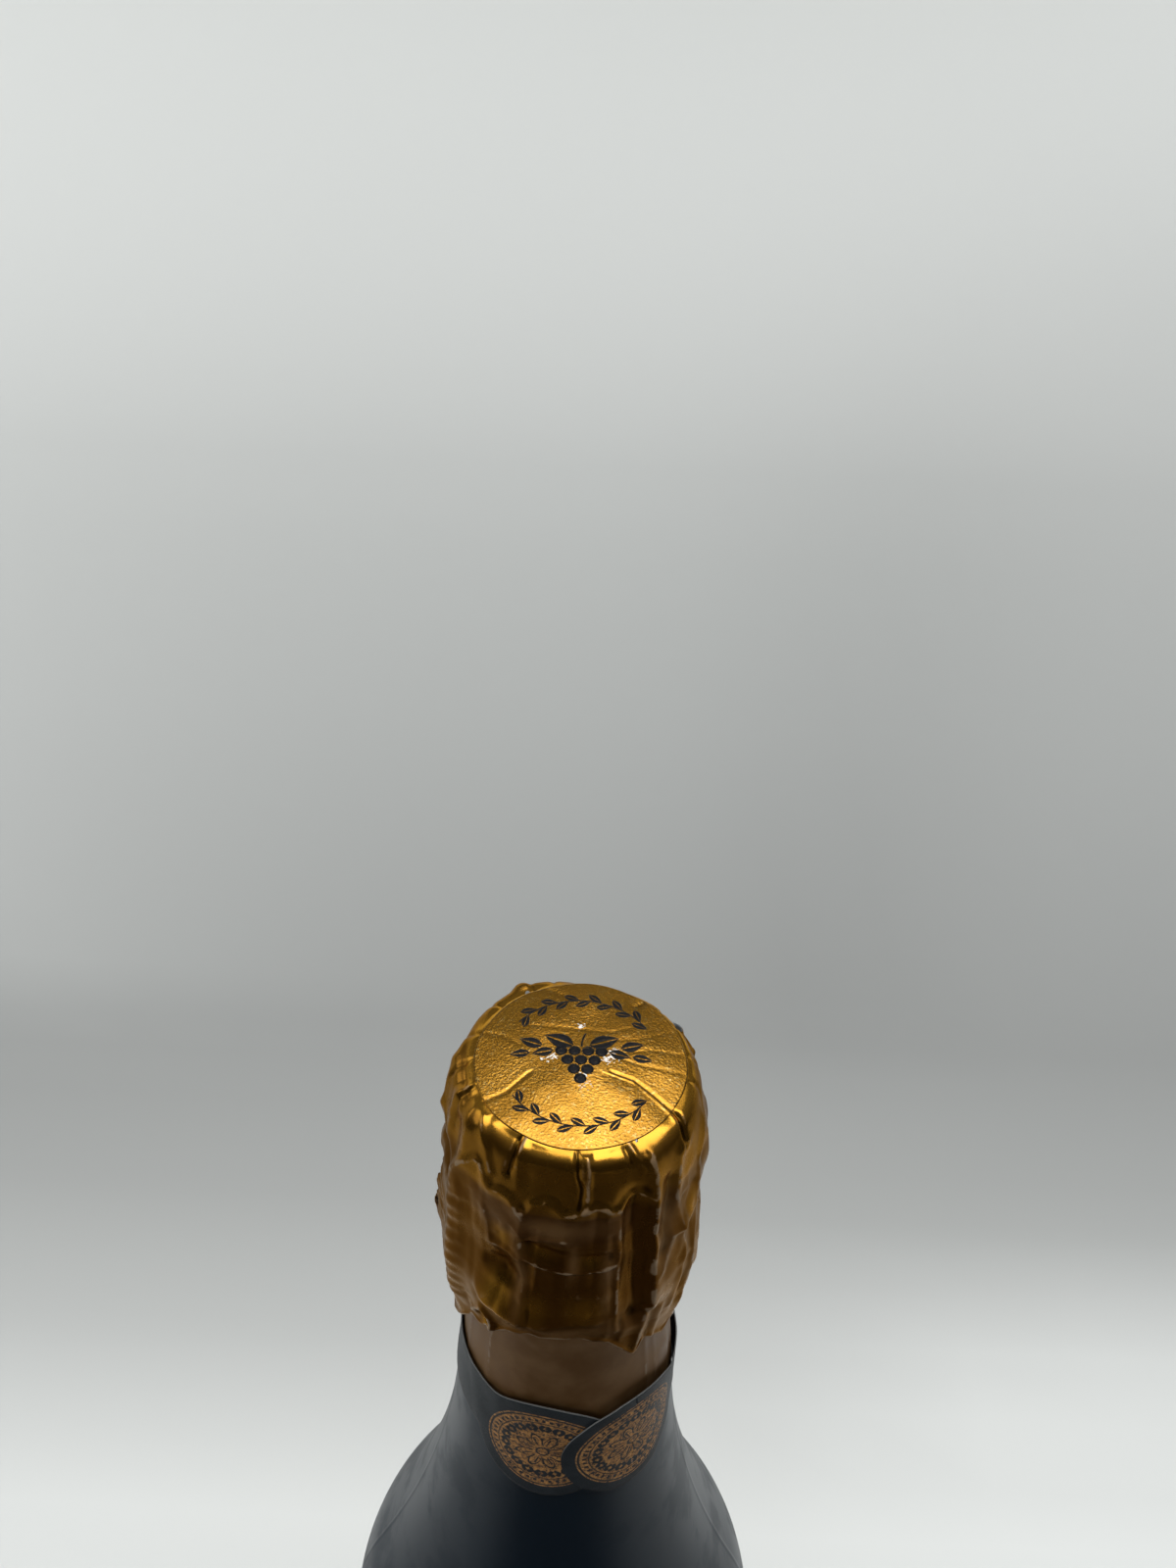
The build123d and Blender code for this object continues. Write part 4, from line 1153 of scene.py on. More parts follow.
def buildHood():
    h = hood
    random = np.random.default_rng(h["seed"])
    angles = -180 + np.arange(h["columns"]) * 360 / h["columns"]
    girth = 2 * math.pi * h["girth"]
    ragged = h["raggedHem"] * np.sin(np.radians(angles * 23)) * np.sin(np.radians(angles * 7))
    last = np.array([onHood(0, z)[1] for z in byAngle(h["hem"], angles) + ragged])
    first = h["flat"] - h["overlap"]
    along = first + (last - first) * np.linspace(0, 1, h["rows"])[:, None]
    across = np.broadcast_to(np.radians(angles) * h["girth"], along.shape)
    turn = np.broadcast_to(angles, along.shape)
    height = np.interp(along, hoodAlong, hoodHeight)

    # the broad form
    lift = byAngle(h["swell"], angles) * fadeIn(along, *h["swellAlong"])
    crown = byAngle(h["crown"], angles) * fadeIn(along, *h["crownAlong"]) * fadeIn(height, *h["crownHeight"])
    down = np.clip((h["tuckStart"] - height) / h["tuckDepth"], 0, h["tuckMost"])
    lift = lift - crown - byAngle(h["tuck"], angles) * down ** h["tuckCurve"]

    # folds, and the prints of the cage's legs
    folded, prints = np.zeros(along.shape), np.zeros(along.shape)
    folds = [*frontFolds, *pleats(np.random.default_rng(h["seed"] + 1)), *backFolds(random)]
    for points, width, rise, soft, step in folds:
        drawFold(folded, across, along, girth, [onHood(*p) for p in points], width, rise, soft, step)
    for points, width, rise in legPrints:
        drawFold(prints, across, along, girth, [onHood(*p) for p in points], width, rise, soft=1.0,
                 beads=h["twistPrint"], pitch=h["twistPitch"])

    # crumpled facets, large and small, quieter on the front
    quiet = h["quiet"] + (1 - h["quiet"]) * fadeIn(np.abs(turn), *h["quietSides"])
    wrapped = across % girth
    order = np.argsort(wrapped[0])
    crumple = np.zeros(along.shape)
    for (gap, rise), calm in zip(h["facets"], (quiet, 0.5 + 0.5 * quiet)):
        corners = scatterCorners(random, girth, first - h["margin"], last.max() + h["margin"], gap, rise)
        crumple[:, order] += facets(wrapped[:, order], along[:, order], girth, corners) * calm[:, order]
    relief = softened(folded, h["softFolds"]) + softened(crumple, h["softFacets"])
    prints = softened(prints, h["softPrints"])

    # lips of the torn window bent out, and a slight roll at the hem
    outside = windowEdge(turn, height, along)
    window = h["window"]
    lip = window["lip"] * np.exp(-(np.clip(outside, 0, None) / window["lipReach"]) ** 1.5)
    relief += lip * fadeIn(height, *window["lipHeight"])
    relief += h["hemRoll"] * np.exp(-((last - along) / h["hemRollWidth"]) ** 2)
    total = (lift + relief + prints) * fadeIn(along, *h["reliefAlong"])

    slopeR, slopeZ = np.gradient(hoodRadius, hoodAlong), np.gradient(hoodHeight, hoodAlong)
    radius = np.interp(along, hoodAlong, hoodRadius) - np.interp(along, hoodAlong, slopeZ) * total
    level = height + np.interp(along, hoodAlong, slopeR) * total
    # never thinner than the cage under it
    fromLeg = np.min([np.abs(wrapDeg(turn - leg)) for leg in h["legs"]], axis=0)
    overLeg = fadeIn(fromLeg, h["legHalf"] + h["legFade"], h["legHalf"])
    least = h["overCork"] + (h["overLeg"] - h["overCork"]) * overLeg
    radius = np.where(along > h["skirtStart"], np.maximum(radius, least), radius)
    points = around(radius, turn, np.minimum(level, h["top"]))
    flat = np.linspace(0, first, h["flatRows"] + 1)[:-1, None] * np.ones(len(angles))
    points = np.concatenate([around(flat, angles[None], h["top"]), points])
    x, y = points[..., 0], points[..., 1]
    points[..., 2] += topRelief(x, y) * fadeIn(np.hypot(x, y), *h["topReliefFade"])

    ridge = (relief - softened(relief, h["ridgeSpan"])) * h["ridgeGain"]
    ridge += np.exp(-((last - along) / h["hemWorn"]) ** 2)
    cut = outside < 0
    cut = cut[:-1] & cut[1:] & np.roll(cut, -1, 1)[:-1]
    pad = ((h["flatRows"], 0), (0, 0))
    piece = gridPiece("foilHood", points, crumpledGoldFoil, holes=np.pad(cut, pad), ridge=np.pad(ridge, pad),
                      dull=np.pad(hoodBrown(turn, height, along), pad),
                      haze=np.pad(softSpots(h["haze"], turn, height), pad))
    thicken(piece, h["thickness"])
    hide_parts("foil_hood")
    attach(piece, "hood")


# Gold disc on the hood, with creases that go on over the hood's rim

disc = {
    "top": 319.985, "radius": 15.5, "sheet": 0.12, "rings": 90, "columns": 360, "dome": 0.50,
    # its outline's waver, its turned-down edge, and how its creases show in the wear
    "waver": 0.12, "lipOut": 0.03, "lipDown": 0.06, "ridgeSpan": 20, "ridgeGain": 16,
    # broad waves of the whole top, and how far it lies below its edge for them
    "swell": 0.04, "sunk": -0.05, "creaseSoft": 0.2,
    # points as (x, y), width, rise, step
    "creases": (
        (((4.5, -2.0), (7.7, -3.2), (10.5, -5.6), (12.9, -7.9), (14.6, -9.2)), 0.45, -0.16, 0.0),
        (((4.5, -2.6), (7.9, -4.0), (10.4, -6.4), (12.4, -8.6)), 2.6, -0.08, -0.8),
        (((-7.3, -2.6), (-10.5, -6.2), (-13.5, -7.9)), 0.8, -0.07, 0.6),
        (((-8.3, 6.3), (4.3, 5.5), (9.6, 7.6)), 0.7, -0.025, 0.0),
        (((5.3, 0.6), (9.0, -0.6), (14.8, -1.6)), 0.7, -0.03, 0.4),
        (((5.8, 1.6), (10.0, 2.4), (14.6, 2.0)), 0.7, -0.03, 0.0),
        (((3.4, 3.6), (9.0, 4.6), (13.4, 6.2)), 0.8, -0.02, 0.5),
        (((-9.0, 2.6), (-12.0, 4.2), (-15.0, 4.4)), 0.8, -0.035, 0.0),
        (((-2.0, 12.0), (-4.5, 13.4), (-7.5, 14.0)), 1.0, -0.06, 0.0),
        (((8.0, 11.0), (9.6, 12.4)), 1.0, -0.12, 0.0),
    ),
}


def topRelief(x, y):
    # shared by the hood's flat top, the disc and its ornament; never positive
    field = np.zeros(np.shape(x))
    for points, width, rise, step in disc["creases"]:
        drawFold(field, x, y, 0, points, width, rise, disc["creaseSoft"], step)
    waves = np.sin(x * 0.55 + 1.0) * np.cos(y * 0.47) + np.sin(x * 0.23 - y * 0.31)
    swell = disc["swell"] * waves + disc["sunk"]
    return np.minimum(field + swell, 0) - disc["dome"] * (x * x + y * y) / disc["radius"] ** 2


def onDisc(x, y, rise=0.0):
    x, y = np.broadcast_arrays(np.asarray(x, float), np.asarray(y, float))
    return np.stack([x, y, disc["top"] + topRelief(x, y) + rise], -1)


def buildDisc():
    d = disc
    angles = np.arange(d["columns"]) * 360 / d["columns"]
    waver = 1 + np.sin(np.radians(angles * 3 + 40)) * np.sin(np.radians(angles * 5))
    reach = d["radius"] - d["waver"] * waver
    spots = around(np.linspace(0, 1, d["rings"])[:, None] * reach, angles[None], 0)
    points = onDisc(spots[..., 0], spots[..., 1])
    edge = points[-1:].copy()
    edge[..., :2] *= 1 + d["lipOut"] / d["radius"]
    edge[..., 2] -= d["lipDown"]
    points = np.concatenate([points, edge])
    relief = topRelief(spots[..., 0], spots[..., 1])
    ridge = (relief - softened(relief, d["ridgeSpan"])) * d["ridgeGain"]
    # painted shade along the turned-down edge, where the disc meets the hood
    ridge = np.concatenate([ridge, np.full((1, len(angles)), -1.0)])
    ridge[-3:] -= 0.5       # painted contact shade along the edge
    piece = gridPiece("goldDisc", points, satinGoldDisc, ridge=ridge)
    thicken(piece, d["sheet"])
    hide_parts("foil_top_disc")
    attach(piece, "hood")


# Plain black ornament printed on the disc: a bunch of grapes with leaves between two curved sprigs

ornament = {
    "rise": 0.012, "thickness": 0.02,
    # sprigs above and below: their circle, leaves each, half their span, how far leaves stand off and lean
    "sprigRadius": 11.6, "sprigLeaves": 13, "sprigSpanDeg": 50.0, "leaf": (2.5, 1.15), "leafAway": 0.62,
    "leafLeanDeg": 28.0, "stemHalf": 0.09, "stemPastDeg": 4.0,
    "grape": 0.92, "grapeRows": (4, 3, 2, 1), "bunchTop": 1.6, "grapePitch": 2.12, "rowPitch": 0.87,
    # leaves beside the bunch: how far aside, how far over its top, lean from upright, length, width
    "bunchLeaves": ((3.3, 1.9, 68.0, 4.6, 2.6), (5.6, -0.4, 105.0, 3.2, 1.7), (7.4, 1.3, 72.0, 3.6, 1.9),
                    (8.9, -0.9, 100.0, 3.0, 1.5)),
    "stalk": (0.5, 2.6), "stalkFoot": 0.8, "stalkHalf": 0.14,
}


def printedDot(x, y, radius):
    angle = np.radians(np.arange(18) * 20)
    ring = np.array([0, 0.5, 1.0])[:, None] * radius
    return onDisc(x + ring * np.cos(angle), y + ring * np.sin(angle), ornament["rise"]), True


def printedLeaf(x, y, headingDeg, length, width):
    # pointed leaf with a bare midrib
    along = np.linspace(0, 1, 11)[:, None]
    heading = np.radians(headingDeg)
    grids = []
    for low, high in ((-1.0, -0.12), (0.12, 1.0)):
        across = np.linspace(low, high, 4)[None] * width / 2 * np.sin(math.pi * along ** 0.8)
        ahead = (along - 0.5) * length
        leafX = x + ahead * math.cos(heading) - across * math.sin(heading)
        leafY = y + ahead * math.sin(heading) + across * math.cos(heading)
        grids.append((onDisc(leafX, leafY, ornament["rise"]), False))
    return grids


def sprig(middle, turn):
    # leaves on alternate sides of a curved stem
    o = ornament
    shapes = []
    for number in range(o["sprigLeaves"]):
        side = 1 if number % 2 else -1
        angle = middle + (number / (o["sprigLeaves"] - 1) * 2 - 1) * o["sprigSpanDeg"]
        radius = o["sprigRadius"] + side * o["leafAway"]
        x, y = radius * math.cos(math.radians(angle)), radius * math.sin(math.radians(angle))
        shapes += printedLeaf(x, y, angle + (90 + side * o["leafLeanDeg"]) * turn, *o["leaf"])
    stem = np.radians(middle + np.linspace(-1, 1, 60) * (o["sprigSpanDeg"] + o["stemPastDeg"]))[:, None]
    wide = o["sprigRadius"] + np.array([[o["stemHalf"], -o["stemHalf"]]])
    return shapes + [(onDisc(wide * np.cos(stem), wide * np.sin(stem), o["rise"]), False)]


def buildOrnament():
    o = ornament
    shapes = sprig(-90, 1) + sprig(90, -1)
    pitch = o["grape"] * o["grapePitch"]
    for row, count in enumerate(o["grapeRows"]):
        y = o["bunchTop"] - row * pitch * o["rowPitch"]
        shapes += [printedDot((number - (count - 1) / 2) * pitch, y, o["grape"]) for number in range(count)]
    for side in (-1, 1):
        for aside, over, lean, length, width in o["bunchLeaves"]:
            shapes += printedLeaf(side * aside, o["bunchTop"] + over, 90 - side * lean, length, width)
    share = np.linspace(0, 1, 12)[:, None]
    wide = np.array([[o["stalkHalf"], -o["stalkHalf"]]])
    bend, length = o["stalk"]
    stalk = onDisc(wide + bend * share ** 2, o["bunchTop"] + o["stalkFoot"] + length * share, o["rise"])
    shapes.append((stalk, False))
    piece = joinGrids("discOrnament", shapes, blackInk)
    thicken(piece, o["thickness"])
    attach(piece, "hood")


buildHood()
buildDisc()
buildOrnament()
print("hood and disc ready")


# Neck foil: smooth flats, one lapped seam, puckers under the hood's hem

neckFoil = {
    "top": 281.6, "low": 240.5, "slack": 0.05, "thickness": 0.25, "columns": 420, "rows": 130, "seed": 5,
    # points as (angle, height), width, rise, softness, step
    "folds": (
        (((49, 281.0), (50, 262.0), (51, 243.0)), 1.0, 0.20, 0.0, -0.7),
        (((57, 281.0), (57, 262.0), (58, 243.0)), 0.8, 0.14, 0.0, 0.5),
        (((-48, 281.0), (-47, 260.0), (-46, 243.0)), 1.6, 0.16, 0.2, 0.3),
        (((-66, 281.0), (-68, 258.0), (-66, 243.0)), 1.4, 0.16, 0.0, 0.0),
        (((-20, 273.5), (-5, 271.0), (12, 271.8), (24, 269.0)), 1.2, 0.09, 0.4, 0.0),
        (((-26, 271.0), (-12, 268.6), (4, 268.2)), 1.0, 0.07, 0.4, 0.0),
        (((-8, 275.0), (6, 274.0), (20, 272.0)), 1.0, 0.08, 0.4, 0.0),
        (((70, 268.0), (74, 256.0), (72, 246.0)), 1.6, 0.15, 0.0, 0.0),
    ),
    # upright folds round the back, about evenly spaced: angles, heights, width, rise, softness
    "backAngles": (84, 278, 16), "backHeights": (281, 243), "backFold": (1.3, 0.14, 0.1),
    "facetGap": 7.5, "facetRise": 0.10, "margin": 4, "softRelief": 3, "deepest": -0.12,
    "ridgeSpan": 16, "ridgeGain": 12, "sheet": 0.15,
}


def buildNeckFoil():
    n = neckFoil
    random = np.random.default_rng(n["seed"])
    angles = -180 + np.arange(n["columns"]) * 360 / n["columns"]
    height = np.linspace(n["top"], n["low"], n["rows"])[:, None] * np.ones(len(angles))
    girthRadius = coneRadius((n["top"] + n["low"]) / 2) + n["slack"]
    girth = 2 * math.pi * girthRadius
    across = np.broadcast_to((np.radians(angles) * girthRadius) % girth, height.shape)
    order = np.argsort(across[0])
    corners = scatterCorners(random, girth, n["low"] - n["margin"], n["top"] + n["margin"], n["facetGap"],
                             n["facetRise"])
    relief = np.zeros(height.shape)
    relief[:, order] = facets(across[:, order], height[:, order], girth, corners)

    def draw(places, width, rise, soft, step):
        line = [(math.radians(angle) * girthRadius, z) for angle, z in places]
        drawFold(relief, across, height, girth, line, width, rise, soft, step)

    for fold in n["folds"]:
        draw(*fold)
    spaced = np.arange(*n["backAngles"])
    for angle in spaced + random.uniform(-4, 4, len(spaced)):
        places = zip((angle, angle + random.uniform(-4, 4)), n["backHeights"])
        draw(places, *n["backFold"], random.uniform(-0.5, 0.5))
    relief = softened(relief, n["softRelief"])
    radius = coneRadius(height) + n["slack"] + n["thickness"] + np.maximum(relief, n["deepest"])
    ridge = (relief - softened(relief, n["ridgeSpan"])) * n["ridgeGain"]
    piece = gridPiece("neckFoil", around(radius, angles[None], height), matteBrownFoil, ridge=ridge)
    thicken(piece, n["sheet"])
    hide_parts("neck_foil")
    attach(piece, "bottle")


buildNeckFoil()
print("neck foil ready")


# Printed motif for the paper pieces: a plain rosette in rings of dots

# sizes as shares of the motif's radius; a ring is its middle, half its width and how soft its edge is
rosette = {
    "rim": (0.985, 0.013, 0.008), "ground": (0.945, 0.925), "dots": (0.855, 0.034, 0.012), "dotCount": 44,
    "dotGap": (-0.1, 0.35), "line": (0.785, 0.012, 0.012),
    "garland": 0.65, "garlandWaves": 9, "garlandSway": 0.055, "leafHalf": (0.008, 0.040), "leafEdge": 0.008,
    "petals": 4, "petalFoot": 0.17, "petalLength": 0.30, "petalLine": (0.034, 0.018),
    "veinCount": 16, "veinGap": (0.5, 0.9), "veinEnd": (0.40, 0.36), "veinStart": (0.16, 0.20),
    "eye": (0.10, 0.018, 0.012),
}


def buildRosetteEffect():
    # Across and Up in mm from the middle; Printed is the inked area, Cut the pattern left dark in it
    effect, tree, given, result = newEffect(
        "rosettePrint", {"Across": 0.0, "Up": 0.0, "Radius": 10.0}, ("Printed", "Cut"))
    square = tree.plus(tree.math("POWER", given["Across"], 2.0), tree.math("POWER", given["Up"], 2.0))
    far = tree.math("DIVIDE", tree.math("SQRT", square), given["Radius"])
    turn = tree.math("ARCTAN2", given["Up"], given["Across"])
    r = rosette

    def ring(middle, half, soft):
        return tree.ramp(tree.apart(far, middle), half + soft, half - soft)

    def waves(count, phase=0.0):
        return tree.math("SINE", tree.plus(tree.times(turn, float(count)), phase))

    tree.feed(result["Printed"], tree.larger(ring(*r["rim"]), tree.ramp(far, *r["ground"])))
    dots = tree.times(ring(*r["dots"]), tree.ramp(waves(r["dotCount"]), *r["dotGap"]))
    lines = tree.larger(ring(*r["line"]), dots)
    # two garlands of leaves that cross each other
    least, more = r["leafHalf"]
    for phase in (0.0, math.pi):
        sway = tree.times(waves(r["garlandWaves"], phase), r["garlandSway"])
        away = tree.apart(tree.minus(far, sway), r["garland"])
        leaf = tree.plus(tree.times(tree.math("ABSOLUTE", waves(2 * r["garlandWaves"], phase)), more), least)
        lines = tree.larger(lines, tree.ramp(tree.minus(away, leaf), r["leafEdge"], -r["leafEdge"]))
    # petals of the rosette, with a vein each, and its eye
    petal = tree.times(tree.math("ABSOLUTE", waves(r["petals"])), r["petalLength"])
    outline = tree.math("ABSOLUTE", tree.minus(tree.minus(far, r["petalFoot"]), petal))
    lines = tree.larger(lines, tree.ramp(outline, *r["petalLine"]))
    veins = tree.times(tree.ramp(waves(r["veinCount"]), *r["veinGap"]), tree.ramp(far, *r["veinEnd"]))
    lines = tree.larger(lines, tree.times(veins, tree.ramp(far, *r["veinStart"])))
    tree.feed(result["Cut"], tree.larger(lines, ring(*r["eye"])))
    return effect


rosettePrint = buildRosetteEffect()

paperFinish = {
    "slate": (0.010, 0.015, 0.020, 1), "slateWorn": (0.030, 0.038, 0.046, 1), "core": (0.26, 0.26, 0.25, 1),
    "bronze": (0.66, 0.33, 0.10, 1), "bronzeDark": (0.30, 0.14, 0.045, 1), "medallion": 10.6,
    "slateRough": (0.42, 0.58), "slateRelief": 0.06, "slateEdge": (0.22, 0.08),
    "cream": (0.76, 0.70, 0.57, 1), "creamDark": (0.66, 0.59, 0.45, 1), "creamWorn": (0.52, 0.47, 0.37, 1),
    "creamRough": (0.55, 0.72), "creamRelief": 0.035, "labelMotif": 15.0,
    # border lines of the labels: from the paper's edge, and half their width
    "borders": ((3.2, 0.45), (4.4, 0.12)), "borderSoft": 0.06,
}


def printedMotif(tree, radius):
    # the ink of a rosette round the place where the fields across and up are zero
    motif = tree.group(rosettePrint, Across=tree.field("across"), Up=tree.field("up"), Radius=radius)
    return tree.times(motif["Printed"], tree.minus(1.0, motif["Cut"]))


def buildCollarMaterial():
    f = paperFinish
    material, tree, shader = newMaterial("slateCollarPaper", Specular_IOR_Level=0.35)
    paper = tree.group(paperFibre, Scuff=0.5)
    place = tree.place()
    colour = tree.mix(tree.times(paper["Scuffed"], 0.8), f["slate"], f["slateWorn"])
    colour = tree.mix(tree.spread(paper["Cloud"], 0.0, 0.35), colour, f["slateWorn"])
    patchy = tree.noise(place, 0.9, 5.0, 0.75)
    bronze = tree.mix(tree.ramp(patchy, 0.35, 0.65), f["bronze"], f["bronzeDark"])
    worn = tree.ramp(tree.noise(place, 1.9, 5.0, 0.8), 0.60, 0.46)
    ink = tree.times(printedMotif(tree, f["medallion"]), worn)
    colour = tree.mix(ink, colour, bronze)
    cut = tree.ramp(tree.field("edge"), *f["slateEdge"])
    tree.feed(shader["Base Color"], tree.mix(tree.times(cut, 0.5), colour, f["core"]))
    tree.feed(shader["Metallic"], tree.times(ink, 0.3))
    tree.feed(shader["Roughness"], tree.spread(paper["Fibre"], *f["slateRough"]))
    height = tree.plus(tree.times(paper["Fibre"], 0.4), tree.times(ink, 0.8))
    tree.feed(shader["Normal"], tree.bump(height, f["slateRelief"]))
    return material


def buildLabelMaterial():
    f = paperFinish
    material, tree, shader = newMaterial("creamLabelPaper", Specular_IOR_Level=0.3)
    paper = tree.group(paperFibre, Scuff=0.3)
    colour = tree.mix(tree.spread(paper["Cloud"]), f["cream"], f["creamDark"])
    colour = tree.mix(tree.times(paper["Scuffed"], 0.4), colour, f["creamWorn"])
    ink = printedMotif(tree, f["labelMotif"])
    for middle, half in f["borders"]:
        away = tree.apart(tree.field("edge"), middle)
        ink = tree.larger(ink, tree.ramp(away, half + f["borderSoft"], half - f["borderSoft"]))
    ink = tree.times(ink, tree.ramp(paper["Fibre"], 0.68, 0.60))
    tree.feed(shader["Base Color"], tree.mix(ink, colour, f["bronze"]))
    tree.feed(shader["Metallic"], tree.times(ink, 0.6))
    tree.feed(shader["Roughness"], tree.spread(paper["Fibre"], *f["creamRough"]))
    tree.feed(shader["Normal"], tree.bump(paper["Fibre"], f["creamRelief"]))
    return material


slateCollarPaper = buildCollarMaterial()
creamLabelPaper = buildLabelMaterial()


# Collar: one paper strip round the neck whose two round ends lap over each other at the front

collar = {
    # height and inner radius: glued to the glass below, standing off a little at the top
    "line": ((229.3, 20.05), (236.0, 19.38), (242.5, 19.06), (255.5, 18.45)), "paper": 0.25, "sheet": 0.22,
    # how far its top leans aside, and between which heights the lean grows
    "aside": 0.35, "asideHeight": (240.0, 250.0),
    # angle, height and radius of the round ends; the first laps over the second
    "lobes": ((38.0, 241.4, 13.0), (-9.5, 242.5, 13.2)), "spread": 19.6,
    # angle along the strip, band's top, band's low edge
    "band": ((37, 250.5, 237.0), (60, 250.0, 237.6), (72, 249.4, 238.2), (110, 250.0, 239.0),
             (180, 251.4, 240.0), (250, 252.8, 240.5), (305, 253.3, 240.0), (351, 252.6, 238.0)),
    "blend": 0.8, "lap": 0.36, "lapAngles": (70.0, 45.0), "rows": 46, "columns": 520, "endColumns": 70,
    # waves of the paper: rise, waves round the neck, turn of the wave per mm of height
    "waves": ((0.05, 6, 0.0), (0.04, 17, 0.35)),
    # the medallion's print: how far it is drawn from a lobe's middle, where it is moved out of reach and how
    # far, and the angle at which the second lobe's print takes over
    "printReach": 16.0, "printEnd": (13.0, 16.0), "printAway": 30.0, "halfway": 200.0,
}


def buildCollar():
    c = collar
    perDegree = math.radians(c["spread"])
    overlap, under = c["lobes"]
    under = (360 + under[0], *under[1:])
    start = overlap[0] - overlap[2] / perDegree
    end = under[0] + under[2] / perDegree
    inward = 1 - np.cos(np.linspace(0, math.pi / 2, c["endColumns"]))
    strip = np.unique(np.concatenate([
        start + inward * (overlap[0] - start), end - inward * (end - under[0]),
        np.linspace(overlap[0], under[0], c["columns"])]))
    places, tops, lows = zip(*c["band"])
    banded = (strip >= overlap[0]) & (strip <= under[0])
    top = np.where(banded, np.interp(strip, places, tops), -np.inf)
    low = np.where(banded, np.interp(strip, places, lows), np.inf)
    k = c["blend"]
    for angle, middle, radius in (overlap, under):
        away = (strip - angle) * perDegree
        half = np.sqrt(np.clip(radius ** 2 - away ** 2, 0, None))
        inside = np.abs(away) < radius
        with np.errstate(over="ignore"):
            top = np.where(inside, k * np.logaddexp(top / k, (middle + half) / k), top)
            low = np.where(inside, -k * np.logaddexp(-low / k, (half - middle) / k), low)
    top = np.where(np.isfinite(top), top, overlap[1])
    low = np.where(np.isfinite(low), low, overlap[1])
    top[[0, -1]] = low[[0, -1]] = overlap[1], under[1]
    height = top + (low - top) * np.linspace(0, 1, c["rows"])[:, None]
    wave = sum(rise * np.sin(np.radians(strip * count) + height * slant)
               for rise, count, slant in c["waves"])
    radius = byHeight(c["line"], height) + c["paper"] + c["lap"] * fadeIn(strip, *c["lapAngles"])
    radius = radius + np.clip(wave, 0, None)
    # places on the medallions, each point counted from the lobe nearer to it along the strip
    first = strip < c["halfway"]
    away = (strip - np.where(first, overlap[0], under[0])) * perDegree
    across = np.clip(away, -c["printReach"], c["printReach"])
    up = height - np.where(first, overlap[1], under[1])
    up = up + c["printAway"] * fadeIn(np.abs(away), *c["printEnd"])
    points = around(radius, strip[None], height)
    points[..., 0] += c["aside"] * fadeIn(height, *c["asideHeight"])
    piece = gridPiece("collarPaper", points, slateCollarPaper, closed=False, across=across, up=up,
                      edge=top - height)
    thicken(piece, c["sheet"])
    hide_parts("collar_label")
    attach(piece, "bottle")


# Labels on the body

labels = {
    "frontLabel": {"node": "front_label", "middle": 0.0, "width": 108.0, "heights": (26.0, 107.0)},
    "backLabel": {"node": "back_label", "middle": 180.0, "width": 78.0, "heights": (26.0, 91.0)},
}
labelPaper = {"radius": 44.34, "inner": 44.12, "sheet": 0.19, "cockle": 0.015, "rows": 60, "columns": 160}


def buildLabel(name, facts):
    p = labelPaper
    half = facts["width"] / 2
    low, high = facts["heights"]
    across, height = np.meshgrid(np.linspace(-half, half, p["columns"]), np.linspace(high, low, p["rows"]))
    angle = facts["middle"] + np.degrees(across / p["inner"])
    wave = np.sin(across * 0.35 + height * 0.11) + np.sin(height * 0.42 - across * 0.08)
    edge = np.minimum(half - np.abs(across), np.minimum(height - low, high - height))
    piece = gridPiece(name, around(p["radius"] + p["cockle"] * wave, angle, height), creamLabelPaper,
                      closed=False, across=across, up=height - (low + high) / 2, edge=edge)
    thicken(piece, p["sheet"])
    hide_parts(facts["node"])
    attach(piece, "bottle")


buildCollar()
for title, facts in labels.items():
    buildLabel(title, facts)
print("paper ready")


# Cork and its two discs

cork = {
    "shaft": 8.8, "low": 274.0, "disc": 5.5, "foot": 300.3, "footRadius": 12.4, "waist": (15.6, 307.5),
    "shoulder": (15.0, 312.5), "top": (12.8, 317.0), "topRound": (0.8, 0.6), "glue": 0.02,
    "columns": 150, "step": 0.7, "pit": 0.22, "discPit": 0.12, "seed": 3,
    # rounded edges of the shaft and discs: high edge, then the disc's low edge across and up
    "round": 0.3, "discRound": (0.5, 0.4),
}


def turnedPiece(name, line, material, step, columns, pit=0.0, **fields):
    # a lathe shape from the axis at the top, round the outside, to the axis at the bottom
    line = np.array(filled(line, step))
    angles = np.arange(columns) * 360 / columns
    radius = np.repeat(line[:, :1], columns, 1)
    if pit:
        random = np.random.default_rng(cork["seed"])
        radius = radius - softened(pit * random.random(radius.shape) ** 3, 1) * (radius > 1)
    return gridPiece(name, around(radius, angles[None], line[:, 1:]), material, **fields)


def corkPiece(name, line, material, pit, node):
    piece = turnedPiece(name, line, material, cork["step"], cork["columns"], pit)
    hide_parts(node)
    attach(piece, "cork")


